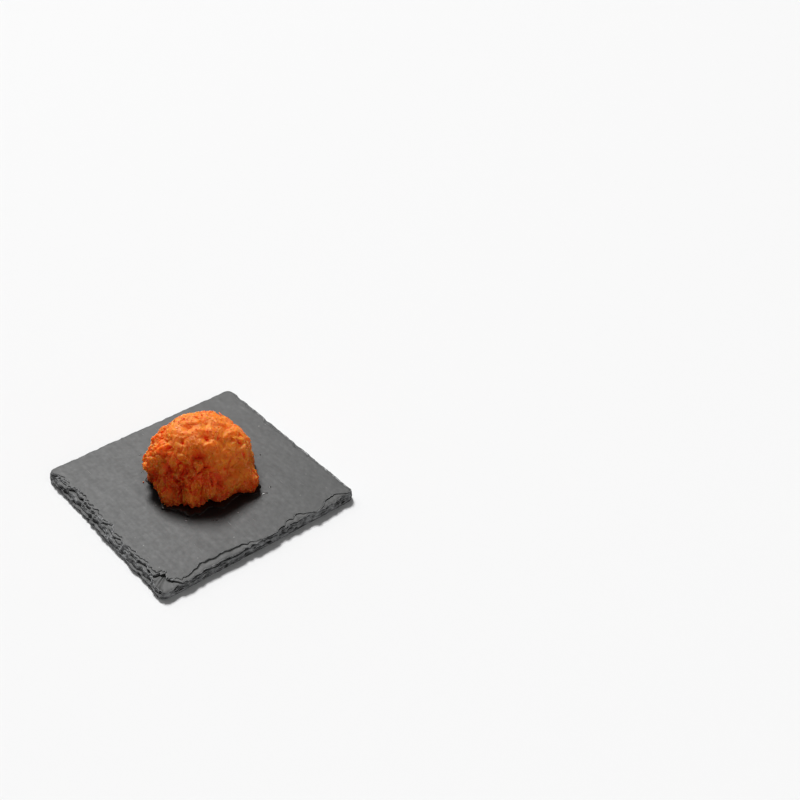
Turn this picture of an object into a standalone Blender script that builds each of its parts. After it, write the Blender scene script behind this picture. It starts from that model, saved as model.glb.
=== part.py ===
"""Mentaiko on its plate: a heaped mound of loosened, seasoned cod roe on a square of split slate.

Lengths are metres and +Z is up. The origin is at the middle of the slate's underside, and the
slate's sides lie along X and Y. Run it with: blender --background --python part.py
"""

import math
import random

import bmesh
import bpy
import numpy as np
from mathutils import Vector

MM = 0.001

# Slate plate
PLATE_SIDE = 100.0 * MM
PLATE_THICKNESS = 5.0 * MM
CORNER_RADIUS = 3.5 * MM
CORNER_SPREAD = 15.0 * MM
OUTLINE_POINTS = 208
CHIP_SEED = 11
LEAST_STEP = 0.1 * MM

# Roe mound, on the slate with a hair of air under it
CONTACT_GAP = 0.3 * MM
MOUND_CENTRE_X = -4.5 * MM
MOUND_CENTRE_Y = 4.1 * MM
MOUND_RADIUS = 23.8 * MM
MOUND_HEIGHT = 28.0 * MM
DOME_FULLNESS = 2.15
TUCK_DEPTH = 0.9 * MM
TUCK_HEIGHT = 2.5 * MM
CAGE_CUTS = 31

# Clumps and crumbs that cover the mound: how many, half width in degrees, rise, and the range of
# their sizes. They lie unevenly by a share of their spacing, and sunk by a share of their rise.
CLUMP_SEED = 5
CLUMP_COUNT = 105
CLUMP_HALF_WIDTH = 13.0
CLUMP_RISE = 1.6 * MM
CLUMP_SIZES = (0.65, 1.1)
CRUMB_COUNT = 480
CRUMB_HALF_WIDTH = 5.6
CRUMB_RISE = 0.85 * MM
CRUMB_SIZES = (0.6, 1.15)
HEAP_JITTER = 0.9
HEAP_SINK = 0.75

# Large bumps and hollows of the mound: azimuth, elevation and half width in degrees, then rise
LUMPS = {
    "toe": (27.0, 6.0, 13.5, 8.2 * MM),
    "front_lobe": (-37.0, 1.0, 12.0, 3.0 * MM),
    "left_front_foot": (-76.0, 4.0, 13.0, 3.0 * MM),
    "front_foot": (-54.0, 2.0, 9.0, 1.7 * MM),
    "left_bulge": (-112.0, 27.0, 20.0, 1.6 * MM),
    "left_waist": (-101.0, 5.0, 13.0, -2.6 * MM),
    "front_face": (-40.0, 33.0, 26.0, -2.2 * MM),
    "right_face": (8.0, 32.0, 20.0, -1.5 * MM),
    "brow_hollow": (-33.0, 56.0, 5.5, -1.5 * MM),
    "left_cleft": (-95.0, 20.0, 6.5, -1.7 * MM),
    "front_hollow": (-30.0, 47.0, 10.0, -1.8 * MM),
    "left_hollow": (-73.0, 36.0, 11.0, -1.9 * MM),
    "low_left_hollow": (-62.0, 22.0, 9.0, -1.3 * MM),
    "brow": (-32.0, 64.0, 13.0, 1.6 * MM),
    "right_brow": (-8.0, 59.0, 9.0, 1.3 * MM),
    "right_shoulder": (50.0, 36.0, 17.0, 2.6 * MM),
    "right_waist": (46.0, 13.0, 11.0, -2.2 * MM),
    "top_pit": (-4.0, 70.0, 5.0, -1.8 * MM),
    "crown": (150.0, 76.0, 20.0, 0.5 * MM),
    "rear_left_slope": (165.0, 50.0, 22.0, -0.7 * MM),
}

# The crack across the mound's top: where it starts and ends, its half width and depth
CRACK_START = (-96.0, 80.0)
CRACK_END = (61.0, 60.0)
CRACK_HALF_WIDTH = 3.2
CRACK_DEPTH = 1.1 * MM

# Split layers of the slate's edge, from the underside up. Each has its bottom and top height, how
# far its top edge is set back from the full square on the front (-Y), right (+X), rear (+Y) and
# left (-X) sides, how much its edge leans inwards on the way up, and how strongly chips show.
SLATE_LAYERS = (
    (0.0 * MM, 1.9 * MM, (0.7 * MM, -0.5 * MM, 0.0 * MM, 0.0 * MM), -0.5 * MM, 0.10),
    (1.9 * MM, 3.5 * MM, (2.1 * MM, -0.5 * MM, -0.3 * MM, -0.3 * MM), 0.7 * MM, 0.35),
    (3.5 * MM, 4.65 * MM, (3.2 * MM, -0.8 * MM, -0.1 * MM, -0.3 * MM), 0.3 * MM, 0.50),
    (4.65 * MM, 5.0 * MM, (3.8 * MM, -0.5 * MM, 1.2 * MM, -0.1 * MM), 0.1 * MM, 0.80),
)

# Pieces split off the upper layers: the first layer that is gone, then the distance round the
# square, half width and depth. One took the front right corner, and three thin flakes follow it.
BREAKS = (
    (2, 100.0 * MM, 11.0 * MM, 7.5 * MM),
    (3, 129.0 * MM, 25.0 * MM, 3.6 * MM),
    (3, 169.0 * MM, 8.0 * MM, 3.0 * MM),
    (3, 190.0 * MM, 9.0 * MM, 3.4 * MM),
)

# Large chips along the edge: distance round the square from the front left corner, half width,
# depth
LARGE_CHIPS = (
    (28.0 * MM, 11.0 * MM, 1.6 * MM),
    (44.0 * MM, 8.0 * MM, 1.2 * MM),
    (83.0 * MM, 7.0 * MM, 1.6 * MM),
    (122.0 * MM, 8.0 * MM, 1.5 * MM),
    (136.0 * MM, 7.0 * MM, 1.2 * MM),
    (174.0 * MM, 6.0 * MM, 0.8 * MM),
    (192.0 * MM, 6.0 * MM, 0.9 * MM),
    (262.0 * MM, 6.0 * MM, 0.7 * MM),
    (338.0 * MM, 7.0 * MM, 0.7 * MM),
)

# Small chips: how many on each side, and the range of their half width and depth
SMALL_CHIPS_PER_SIDE = (13, 10, 8, 8)
SMALL_CHIP_HALF_WIDTH = (2.6 * MM, 5.5 * MM)
SMALL_CHIP_DEPTH = (0.25 * MM, 1.0 * MM)

# Where in its stretch of a side a small chip may lie, as shares of the stretch
SMALL_CHIP_SPREAD = (0.2, 0.8)

SLATE_COLOUR = (0.060, 0.062, 0.063, 1.0)
SLATE_ROUGHNESS = 0.6
ROE_COLOUR = (0.62, 0.15, 0.02, 1.0)
ROE_ROUGHNESS = 0.35


def clear_scene():
    """Remove what the file opened with."""
    for leftover in list(bpy.data.objects):
        bpy.data.objects.remove(leftover, do_unlink=True)


def plain_material(name, colour, roughness):
    """A Principled material in one colour."""
    material = bpy.data.materials.new(name)
    material.use_nodes = True
    shader = material.node_tree.nodes["Principled BSDF"]
    shader.inputs["Base Color"].default_value = colour
    shader.inputs["Roughness"].default_value = roughness
    shader.inputs["Metallic"].default_value = 0.0
    return material


def add_part(name, mesh_builder, material, collection):
    """Make a named object from a bmesh and put it in the part's collection."""
    mesh = bpy.data.meshes.new(name)
    mesh_builder.normal_update()
    mesh_builder.to_mesh(mesh)
    mesh_builder.free()
    mesh.materials.append(material)
    part = bpy.data.objects.new(name, mesh)
    collection.objects.link(part)
    return part


def outline_point(run):
    """Place on the rounded square and the way out from there, a distance round from its first corner.

    The way out turns over a longer stretch than the corner's arc, so that deep set-backs near a
    corner don't cross.
    """
    half = PLATE_SIDE / 2
    side = int(run // PLATE_SIDE) % 4
    along = run % PLATE_SIDE - half
    sign = math.copysign(1.0, along)

    past_straight = max(abs(along) - (half - CORNER_RADIUS), 0.0)
    swing = past_straight / CORNER_RADIUS * math.pi / 4
    x = along - sign * past_straight + sign * CORNER_RADIUS * math.sin(swing)
    y = -half + CORNER_RADIUS * (1 - math.cos(swing))

    spread = max(abs(along) - (half - CORNER_SPREAD), 0.0) / CORNER_SPREAD * math.pi / 4
    out_x = sign * math.sin(spread)
    out_y = -math.cos(spread)

    cos, sin = math.cos(side * math.pi / 2), math.sin(side * math.pi / 2)
    place = (x * cos - y * sin, x * sin + y * cos)
    outward = (out_x * cos - out_y * sin, out_x * sin + out_y * cos)
    return place, outward


def edge_chips():
    """All chips along the plate's edge, the large ones and the seeded small ones."""
    draw = random.Random(CHIP_SEED)
    chips = list(LARGE_CHIPS)
    for side, count in enumerate(SMALL_CHIPS_PER_SIDE):
        pitch = PLATE_SIDE / count
        for number in range(count):
            place = side * PLATE_SIDE + (number + draw.uniform(*SMALL_CHIP_SPREAD)) * pitch
            half_width = draw.uniform(*SMALL_CHIP_HALF_WIDTH)
            chips.append((place, half_width, draw.uniform(*SMALL_CHIP_DEPTH)))
    return chips


def chip_depth(run, chips):
    """How far the edge is chipped back at a distance round the square."""
    around = 4 * PLATE_SIDE
    depth = 0.0
    for place, half_width, deepest in chips:
        away = abs((run - place + around / 2) % around - around / 2)
        if away < half_width:
            depth += deepest * (1 - (away / half_width) ** 2)
    return depth


def side_value(run, values):
    """A value that belongs to each side, blended from side to side round the corners."""
    blend = 2 * CORNER_RADIUS
    side = int(run // PLATE_SIDE) % 4
    along = run % PLATE_SIDE
    if along < blend:
        share = 0.5 + along / blend / 2
        return values[side] * share + values[side - 1] * (1 - share)
    if along > PLATE_SIDE - blend:
        share = 0.5 + (PLATE_SIDE - along) / blend / 2
        return values[side] * share + values[(side + 1) % 4] * (1 - share)
    return values[side]


def slate_rings():
    """The slate's outlines from the underside up: each a height and a set-back for every run."""
    chips = edge_chips()
    runs = [4 * PLATE_SIDE * i / OUTLINE_POINTS for i in range(OUTLINE_POINTS)]
    rings = []
    for layer, (bottom, top, sides, lean, chip_share) in enumerate(SLATE_LAYERS):
        broken = [chip[1:] for chip in BREAKS if layer >= chip[0]]
        at_top = []
        for run in runs:
            set_back = side_value(run, sides)
            at_top.append(set_back + chip_share * chip_depth(run, chips) + chip_depth(run, broken))
        at_bottom = [set_back - lean for set_back in at_top]
        if rings:
            below = rings[-1][1]
            bottom += LEAST_STEP
            at_bottom = [max(here, there + LEAST_STEP) for here, there in zip(at_bottom, below)]
            at_top = [max(here, there + LEAST_STEP) for here, there in zip(at_top, at_bottom)]
        rings.append((bottom, at_bottom))
        rings.append((top, at_top))
    return runs, rings


def build_slate(material, collection):
    """The slate: a disc of the outline, raised layer by layer, each layer chipped back further."""
    runs, rings = slate_rings()
    builder = bmesh.new()
    bmesh.ops.create_circle(builder, cap_ends=True, segments=OUTLINE_POINTS, radius=PLATE_SIDE / 2)
    cap = builder.faces[:][0]
    for level, (height, set_backs) in enumerate(rings):
        if level:
            cap = bmesh.ops.extrude_discrete_faces(builder, faces=[cap])["faces"][0]
        for vertex, run, set_back in zip(cap.verts, runs, set_backs):
            (x, y), (out_x, out_y) = outline_point(run)
            vertex.co = (x - out_x * set_back, y - out_y * set_back, height)
    bmesh.ops.contextual_create(builder, geom=[e for e in builder.edges if e.is_boundary])
    bmesh.ops.recalc_face_normals(builder, faces=builder.faces[:])

    across = [vertex.co.x for vertex in builder.verts]
    along = [vertex.co.y for vertex in builder.verts]
    off_centre = Vector((min(across) + max(across), min(along) + max(along), 0.0)) / 2
    bmesh.ops.translate(builder, verts=builder.verts[:], vec=-off_centre)
    return add_part("slate_plate", builder, material, collection)


def unit_vectors(azimuths, elevations):
    """Directions from azimuth and elevation in degrees, as rows of x, y, z."""
    azimuth = np.radians(azimuths)
    elevation = np.radians(elevations)
    level = np.cos(elevation)
    return np.stack([level * np.cos(azimuth), level * np.sin(azimuth), np.sin(elevation)], axis=-1)


def scattered_directions(count, draw, jitter):
    """Evenly spread directions over the upper half of a sphere, each moved a little at random."""
    golden_turn = math.pi * (3 - math.sqrt(5))
    found = []
    for number in range(count):
        height = (number + 0.5) / count + draw.uniform(-jitter, jitter) / math.sqrt(count)
        height = min(max(height, 0.0), 1.0)
        azimuth = number * golden_turn + draw.uniform(-jitter, jitter) * 2 / math.sqrt(count)
        level = math.sqrt(1 - height * height)
        found.append((level * math.cos(azimuth), level * math.sin(azimuth), height))
    return np.array(found)


def heaped_caps(directions, centres, half_widths, rises):
    """Height of the highest rounded cap over each direction; caps meet in creases."""
    angles = np.degrees(np.arccos(np.clip(directions @ centres.T, -1.0, 1.0)))
    caps = rises * np.sqrt(np.clip(1 - (angles / half_widths) ** 2, 0.0, None))
    return caps.max(axis=1)


def lump_relief(directions):
    """The mound's named bumps and hollows, each a smooth swell."""
    relief = np.zeros(len(directions))
    for azimuth, elevation, half_width, rise in LUMPS.values():
        centre = unit_vectors(azimuth, elevation)
        angle = np.degrees(np.arccos(np.clip(directions @ centre, -1.0, 1.0)))
        relief += rise * np.exp(-((angle / half_width) ** 2))
    return relief


def crack_relief(directions):
    """The furrow across the mound's top."""
    start = unit_vectors(*CRACK_START)
    end = unit_vectors(*CRACK_END)
    along = end - start
    share = np.clip(((directions - start) @ along) / (along @ along), 0.0, 1.0)
    nearest = start + share[:, None] * along
    away = np.degrees(np.linalg.norm(directions - nearest, axis=1))
    return -CRACK_DEPTH * np.exp(-((away / CRACK_HALF_WIDTH) ** 2))


def mound_surface(directions):
    """Points of the mound's surface, one for each direction from the middle of its base."""
    draw = random.Random(CLUMP_SEED)
    clumps = scattered_directions(CLUMP_COUNT, draw, HEAP_JITTER)
    clump_sizes = np.array([draw.uniform(*CLUMP_SIZES) for _ in range(CLUMP_COUNT)])
    crumbs = scattered_directions(CRUMB_COUNT, draw, HEAP_JITTER)
    crumb_sizes = np.array([draw.uniform(*CRUMB_SIZES) for _ in range(CRUMB_COUNT)])

    level = np.hypot(directions[:, 0], directions[:, 1])
    upward = np.clip(directions[:, 2], 0.0, None)
    fullness = (level / MOUND_RADIUS) ** DOME_FULLNESS + (upward / MOUND_HEIGHT) ** DOME_FULLNESS
    reach = fullness ** (-1 / DOME_FULLNESS)
    reach = reach - TUCK_DEPTH * np.exp(-((reach * upward / TUCK_HEIGHT) ** 2))
    reach += lump_relief(directions) + crack_relief(directions)
    reach += heaped_caps(directions, clumps, CLUMP_HALF_WIDTH * clump_sizes, CLUMP_RISE * clump_sizes)
    reach += heaped_caps(directions, crumbs, CRUMB_HALF_WIDTH * crumb_sizes, CRUMB_RISE * crumb_sizes)
    reach -= (CLUMP_RISE + CRUMB_RISE) * HEAP_SINK

    base = np.array([MOUND_CENTRE_X, MOUND_CENTRE_Y, PLATE_THICKNESS + CONTACT_GAP])
    return base + directions * reach[:, None]


def build_mound(material, collection):
    """The roe mound: the upper half of a cube swelled to a sphere, heaped with clumps and crumbs."""
    builder = bmesh.new()
    bmesh.ops.create_cube(builder, size=2.0)
    bmesh.ops.subdivide_edges(builder, edges=builder.edges[:], cuts=CAGE_CUTS, use_grid_fill=True)
    halving = builder.verts[:] + builder.edges[:] + builder.faces[:]
    bmesh.ops.bisect_plane(builder, geom=halving, plane_co=(0, 0, 0), plane_no=(0, 0, 1), clear_inner=True)
    for vertex in builder.verts:
        vertex.co = [math.tan(value * math.pi / 4) for value in vertex.co]
        vertex.co.normalize()
    for vertex in builder.verts:
        if vertex.is_boundary:
            vertex.co.z = 0.0
    directions = np.array([vertex.co[:] for vertex in builder.verts])
    for vertex, place in zip(builder.verts, mound_surface(directions)):
        vertex.co = place
    bmesh.ops.contextual_create(builder, geom=[e for e in builder.edges if e.is_boundary])
    bmesh.ops.triangulate(builder, faces=builder.faces[:])
    bmesh.ops.recalc_face_normals(builder, faces=builder.faces[:])
    return add_part("roe_mound", builder, material, collection)


def main():
    clear_scene()
    collection = bpy.data.collections.new("mentaiko")
    bpy.context.scene.collection.children.link(collection)
    build_slate(plain_material("slate", SLATE_COLOUR, SLATE_ROUGHNESS), collection)
    build_mound(plain_material("roe", ROE_COLOUR, ROE_ROUGHNESS), collection)


main()
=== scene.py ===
"""Mentaiko on its slate plate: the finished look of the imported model.

A heaped mound of loosened, seasoned cod roe sits on a square of split slate, with its own loose
grains, shreds of skin, chilli flakes and a little seasoning liquor round its foot. Lengths are
metres, +Z is up, and the origin is at the middle of the slate's underside.
"""

import itertools
import math
import random

import bpy
import numpy as np
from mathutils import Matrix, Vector


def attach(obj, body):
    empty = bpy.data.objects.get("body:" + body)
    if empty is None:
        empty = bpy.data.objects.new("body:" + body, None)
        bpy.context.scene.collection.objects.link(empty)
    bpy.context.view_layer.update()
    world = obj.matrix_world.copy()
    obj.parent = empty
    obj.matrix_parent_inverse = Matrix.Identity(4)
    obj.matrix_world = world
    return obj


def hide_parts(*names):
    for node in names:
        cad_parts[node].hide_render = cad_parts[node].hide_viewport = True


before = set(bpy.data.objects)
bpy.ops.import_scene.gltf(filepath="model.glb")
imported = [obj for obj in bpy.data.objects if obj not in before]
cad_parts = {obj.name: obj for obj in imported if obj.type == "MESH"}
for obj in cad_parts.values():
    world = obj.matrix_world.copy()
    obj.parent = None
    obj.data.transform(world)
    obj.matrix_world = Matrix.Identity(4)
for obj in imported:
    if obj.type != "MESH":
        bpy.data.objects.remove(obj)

bl_info = {
    "name": "Mentaiko on slate",
    "version": (1, 0, 0),
    "blender": (4, 5, 0),
    "location": "3D View > Sidebar > Mentaiko",
    "description": "Builds a mound of loosened cod roe on a square slate plate",
    "category": "Add Mesh",
}

MM = 0.001

# Slate plate, as in the part's source
PLATE_SIDE = 100.0 * MM
PLATE_THICKNESS = 5.0 * MM
CORNER_RADIUS = 3.5 * MM
CORNER_SPREAD = 15.0 * MM
OUTLINE_POINTS = 208
CHIP_SEED = 11
LEAST_STEP = 0.1 * MM

SLATE_LAYERS = (
    (0.0 * MM, 1.9 * MM, (0.7 * MM, -0.5 * MM, 0.0 * MM, 0.0 * MM), -0.5 * MM, 0.10),
    (1.9 * MM, 3.5 * MM, (2.1 * MM, -0.5 * MM, -0.3 * MM, -0.3 * MM), 0.7 * MM, 0.35),
    (3.5 * MM, 4.65 * MM, (3.2 * MM, -0.8 * MM, -0.1 * MM, -0.3 * MM), 0.3 * MM, 0.50),
    (4.65 * MM, 5.0 * MM, (3.8 * MM, -0.5 * MM, 1.2 * MM, -0.1 * MM), 0.1 * MM, 0.80),
)
BREAKS = (
    (2, 100.0 * MM, 11.0 * MM, 7.5 * MM),
    (3, 129.0 * MM, 25.0 * MM, 3.6 * MM),
    (3, 169.0 * MM, 8.0 * MM, 3.0 * MM),
    (3, 190.0 * MM, 9.0 * MM, 3.4 * MM),
)
LARGE_CHIPS = (
    (28.0 * MM, 11.0 * MM, 1.6 * MM),
    (44.0 * MM, 8.0 * MM, 1.2 * MM),
    (83.0 * MM, 7.0 * MM, 1.6 * MM),
    (122.0 * MM, 8.0 * MM, 1.5 * MM),
    (136.0 * MM, 7.0 * MM, 1.2 * MM),
    (174.0 * MM, 6.0 * MM, 0.8 * MM),
    (192.0 * MM, 6.0 * MM, 0.9 * MM),
    (262.0 * MM, 6.0 * MM, 0.7 * MM),
    (338.0 * MM, 7.0 * MM, 0.7 * MM),
)
SMALL_CHIPS_PER_SIDE = (13, 10, 8, 8)
SMALL_CHIP_HALF_WIDTH = (2.6 * MM, 5.5 * MM)
SMALL_CHIP_DEPTH = (0.25 * MM, 1.0 * MM)
SMALL_CHIP_SPREAD = (0.2, 0.8)

# Thin leaves that each layer of the slate splits into, from the underside up
LEAVES_PER_LAYER = (3, 3, 2, 1)
GRID_CELLS = 180
RING_DROP = 0.01

# Nibbles out of the leaves: how many on each side, half width and depth
NIBBLE_SEED = 23
NIBBLES_PER_SIDE = (34, 26, 14, 12)
NIBBLE_HALF_WIDTH = (0.9 * MM, 3.2 * MM)
NIBBLE_DEPTH = (0.2 * MM, 0.9 * MM)

# Long gaping cracks: the leaf above, distance round the square, half width, how far it gapes
LONG_CRACKS = (
    (6, 126.0 * MM, 33.0 * MM, 1.0),
    (8, 178.0 * MM, 25.0 * MM, 0.8),
    (7, 96.0 * MM, 9.0 * MM, 1.0),
)

# Heights of the leaves: rise, size of a swell and seed of their waver and ripple, and how much of it each
# side of the plate has
WAVER_RISE = 0.42 * MM
WAVER_NOISE = (8.0 * MM, 31)
WAVER_BY_SIDE = (1.3, 1.0, 0.5, 0.5)
WAVER_ROOM = 1.3 * MM
RIPPLE_RISE = 0.10 * MM
RIPPLE_NOISE = (4.0 * MM, 37)
RIPPLE_BY_SIDE = (2.6, 1.2, 1.0, 1.0)
LEAST_LEAF = 0.12 * MM
STRATUM_SHIFT = 1.3 * MM

# How the leaves stand in and out: share, size and seed of broad, stretched and fine swells
BROAD_SHARE, BROAD_NOISE = 0.9, (5.0 * MM, 41)
FINE_SHARE, FINE_NOISE = 0.3, (0.9 * MM, 45)
SPLIT_SHARE, SPLIT_NOISE = 0.7, (2.0 * MM, 47)
SPLIT_STRETCH = (1.0, 1.0, 3.0)
RELIEF_BY_SIDE = (2.3, 1.1, 0.5, 0.45)
LOWEST_LEAF_SHARE = 0.2
NIBBLE_GROWTH = 0.12
NIBBLES_BY_SIDE = (1.0, 0.8, 0.45, 0.35)

# Cracks between the leaves, and where a leaf is one with the leaf below it
CRACK_NOISE, CRACK_CONTRAST, CRACK_RARITY = (3.0 * MM, 53), 3.2, 1.3
CRACKS_BY_SIDE = (1.4, 0.8, 0.35, 0.3)
LONG_CRACK_NOISE, LONG_CRACK_MEAN, LONG_CRACK_WANDER = (9.0 * MM, 59), 0.85, 0.5
LONG_CRACK_LIMITS = (0.25, 1.3)
LONG_CRACK_GAPE = 1.4
FUSED_NOISE, FUSED_CONTRAST, FUSED_MEAN = (3.0 * MM, 51), 2.2, 0.8
FUSED_STEP = 0.9 * MM
SLIT = 0.02 * MM
SLIT_FLARE = 0.45
MOST_OPENING = 0.75
FOOT_CRACK = (0.25 * MM, 0.12 * MM)

# Shelves, faces and rims of the leaves: least depth, and what a parted leaf has more
SHELF_DEPTH, PARTED_SHELF_DEPTH = 0.03 * MM, 0.22 * MM
SHELF_RISE, SHELF_NOISE = 0.05 * MM, (1.4 * MM, 67)
RIM_DEPTH, PARTED_RIM_DEPTH = 0.03 * MM, 0.11 * MM
RIM_DROP = 0.05 * MM
LIP_DEPTH = 0.04 * MM
FACE_HEIGHT, FACE_BULGE = 0.55, 0.05 * MM
GRIT_RISE, GRIT_NOISE = 0.22 * MM, (1.5 * MM, 61)

# The split top: weight, size and seed of its swells, its terraces and its grain
SWELL_WEIGHT, SWELL_NOISE = 0.35, (23.0 * MM, 71)
TERRACE_WEIGHT, TERRACE_NOISE = 0.11, (17.0 * MM, 79)
TERRACE_COUNT, TERRACE_EDGE, TERRACE_OCTAVES = 2.5, 0.06, 4
GRAIN_WEIGHT, GRAIN_NOISE = 0.10, (1.6 * MM, 83)
TOP_RELIEF_FROM = 3.4 * MM
RIM_PULL = 2.5
UNDERSIDE_INSETS = (0.9, 0.45)
LIP_NOISE, LIP_CONTRAST, LIP_MEAN = (2.6 * MM, 91), 1.6, 0.1
TINY = 1e-6

# Painted shadow on the slate round the roe, longest on the side where the mound's shadow falls: how far from
# its middle it reaches there, how much less on the other side, how far its rim wanders and fades, and where
# that one side is
PAINTED_SHADOW_REACH = 35.0 * MM
PAINTED_SHADOW_LOSS = 11.0 * MM
PAINTED_SHADOW_WANDER, PAINTED_SHADOW_NOISE = 1.2 * MM, (7.0 * MM, 131)
PAINTED_SHADOW_FADE = 6.0 * MM
PAINTED_SHADOW_AZIMUTH = -35.0

# Roe mound, as in the part's source
CONTACT_GAP = 0.3 * MM
MOUND_CENTRE = (-4.5 * MM, 4.1 * MM)
MOUND_RADIUS = 23.8 * MM
MOUND_HEIGHT = 28.0 * MM
DOME_FULLNESS = 2.15
TUCK_DEPTH = 0.9 * MM
TUCK_HEIGHT = 2.5 * MM
CLUMP_SEED = 5
CLUMP_COUNT = 105
CLUMP_HALF_WIDTH = 13.0
CLUMP_RISE = 1.6 * MM
CLUMP_SIZES = (0.65, 1.1)
CRUMB_COUNT = 480
CRUMB_HALF_WIDTH = 5.6
CRUMB_RISE = 0.85 * MM
CRUMB_SIZES = (0.6, 1.15)
HEAP_JITTER = 0.9
HEAP_SINK = 0.75
LUMPS = {
    "toe": (27.0, 6.0, 13.5, 8.2 * MM),
    "front_lobe": (-37.0, 1.0, 12.0, 3.0 * MM),
    "left_front_foot": (-76.0, 4.0, 13.0, 3.0 * MM),
    "front_foot": (-54.0, 2.0, 9.0, 1.7 * MM),
    "left_bulge": (-112.0, 27.0, 20.0, 1.6 * MM),
    "left_waist": (-101.0, 5.0, 13.0, -2.6 * MM),
    "front_face": (-40.0, 33.0, 26.0, -2.2 * MM),
    "right_face": (8.0, 32.0, 20.0, -1.5 * MM),
    "brow_hollow": (-33.0, 56.0, 5.5, -1.5 * MM),
    "left_cleft": (-95.0, 20.0, 6.5, -1.7 * MM),
    "front_hollow": (-30.0, 47.0, 10.0, -1.8 * MM),
    "left_hollow": (-73.0, 36.0, 11.0, -1.9 * MM),
    "low_left_hollow": (-62.0, 22.0, 9.0, -1.3 * MM),
    "brow": (-32.0, 64.0, 13.0, 1.6 * MM),
    "right_brow": (-8.0, 59.0, 9.0, 1.3 * MM),
    "right_shoulder": (50.0, 36.0, 17.0, 2.6 * MM),
    "right_waist": (46.0, 13.0, 11.0, -2.2 * MM),
    "top_pit": (-4.0, 70.0, 5.0, -1.8 * MM),
    "crown": (150.0, 76.0, 20.0, 0.5 * MM),
    "rear_left_slope": (165.0, 50.0, 22.0, -0.7 * MM),
}
CRACK_START = (-96.0, 80.0)
CRACK_END = (61.0, 60.0)
CRACK_HALF_WIDTH = 3.2
CRACK_DEPTH = 1.1 * MM

# Finer crumbs of the mound that the solid leaves out: how many, half width in degrees, rise
FLECK_SEED = 17
FLECK_COUNT = 900
FLECK_HALF_WIDTH = 4.0
FLECK_RISE = 0.42 * MM
FLECK_SIZES = (0.6, 1.2)

# The torn front of the heap: its middle and half width in degrees, its crags and its crevices
TORN_SIDE = (-66.0, 26.0)
TORN_HALF_WIDTH = 54.0
CRAG_SIZE = 5.2 * MM
CRAG_RISE = 2.2 * MM
CREVICE_SIZE = 4.0 * MM
CREVICE_WIDTH = 0.2
CREVICE_DEPTH = 1.2 * MM

# The pressed top: from this share of upward on it is smoother
PRESSED_FROM = 0.80
PRESSED_RANGE = 0.12

# The smoother right side: azimuth and elevation of its middle and half width in degrees, how smooth it is
SMOOTH_SIDE = (2.0, 36.0)
SMOOTH_HALF_WIDTH = 30.0
SMOOTH_SHARE = 0.5

# Pits and clefts: azimuth, elevation, half length and half width in degrees, turn from level, depth
CLEFTS = (
    (-33.0, 57.0, 8.0, 4.0, 0.0, 0.6 * MM),
    (-64.0, 65.0, 3.2, 2.2, 0.0, 1.4 * MM),
    (-62.0, 46.0, 3.6, 1.7, -60.0, 1.3 * MM),
    (-76.0, 39.0, 4.8, 3.0, -20.0, 1.6 * MM),
    (-65.0, 29.0, 5.0, 2.2, -30.0, 1.6 * MM),
    (-50.0, 37.0, 3.4, 1.4, 90.0, 1.1 * MM),
    (-21.0, 43.0, 3.6, 1.4, 5.0, 1.2 * MM),
    (33.0, 34.0, 3.0, 1.7, 90.0, 1.2 * MM),
    (-33.0, 37.0, 2.8, 1.3, 15.0, 1.0 * MM),
    (-16.0, 27.0, 8.0, 1.8, 80.0, 0.9 * MM),
    (-7.0, 24.0, 9.0, 2.0, 95.0, 0.7 * MM),
    (-56.0, 15.0, 4.5, 2.0, 80.0, 1.4 * MM),
    (-95.0, 20.0, 8.0, 3.4, 75.0, 0.8 * MM),
    (-84.0, 55.0, 3.0, 1.6, 40.0, 1.0 * MM),
    (-3.0, 70.0, 2.8, 1.8, 60.0, 0.9 * MM),
    (-79.0, 83.0, 3.4, 0.9, 10.0, 0.4 * MM),
    (17.0, 62.0, 9.0, 1.3, 38.0, 0.45 * MM),
    (40.0, 47.0, 4.0, 1.5, 70.0, 1.0 * MM),
)

# From this depth on a cleft has its full painted shade, deeper red and as dark as its width lets it be: wide
# ones little, narrow ones most
FULLY_SHADED_CLEFT = 0.9 * MM
CLEFT_WANDER, CLEFT_WAVE = 0.9, 0.4
MOST_CLEFT_SHADE, CLEFT_SHADE_LOSS = 1.2, 0.3

# Painted shade on the low parts of the roe, deeper red and darker: none above the first height over the
# slate, full below the second
LOW_SHADE_HEIGHTS = (21.0 * MM, 6.0 * MM)
# Painted shade at the very foot of the roe: how much, and the height it fades over
PAINTED_FOOT_SHADE = 0.5
PAINTED_FOOT_SHADE_HEIGHT = 3.0 * MM

# How much of the furrow, the heaped crumbs, the flecks and the shove is lost where the roe is pressed
PRESSED_LOSS = {"furrow": 0.35, "heap": 0.45, "fleck": 0.3, "shove": 0.5}

# All roe is shoved about a little: size of the swells, seeds along x, y and z, and less near the slate
SHOVE, SHOVE_SIZE, SHOVE_SEEDS = 1.0 * MM, 4.5 * MM, (101, 103, 107)
SHOVE_FROM = 2.0 * MM
CRAG_SEED, CRAG_CONTRAST, LEDGE_FROM, LEDGE_WIDTH = 109, 1.6, 0.35, 0.3
CREVICE_SEED, CREVICE_STRETCH = 113, (1.0, 1.0, 0.6)
SETTLED, SETTLED_HEIGHT = 0.24 * MM, 1.5 * MM

# Painted shade that makes the roe deeper red and darker in creases, hollows, clefts and low down, each with
# its share
PAINTED_SHADE_OF = {"clump": 0.15, "crumb": 0.20, "fleck": 0.20, "hollow": 0.35, "cleft": 0.6, "low_shade": 0.40}
# Offset that leaves the crests without painted shade, and the hollow depth that has all of it
CREST_SHADE_OFFSET = 0.25
FULL_HOLLOW = 2.2 * MM
# Painted light on the smoother right side: it gets less painted shade, so it is lighter
SMOOTH_SIDE_PAINTED_LIGHT = 0.04
# Painted shade down in the crevices of the torn front
CREVICE_PAINTED_SHADE = 0.5

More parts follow.
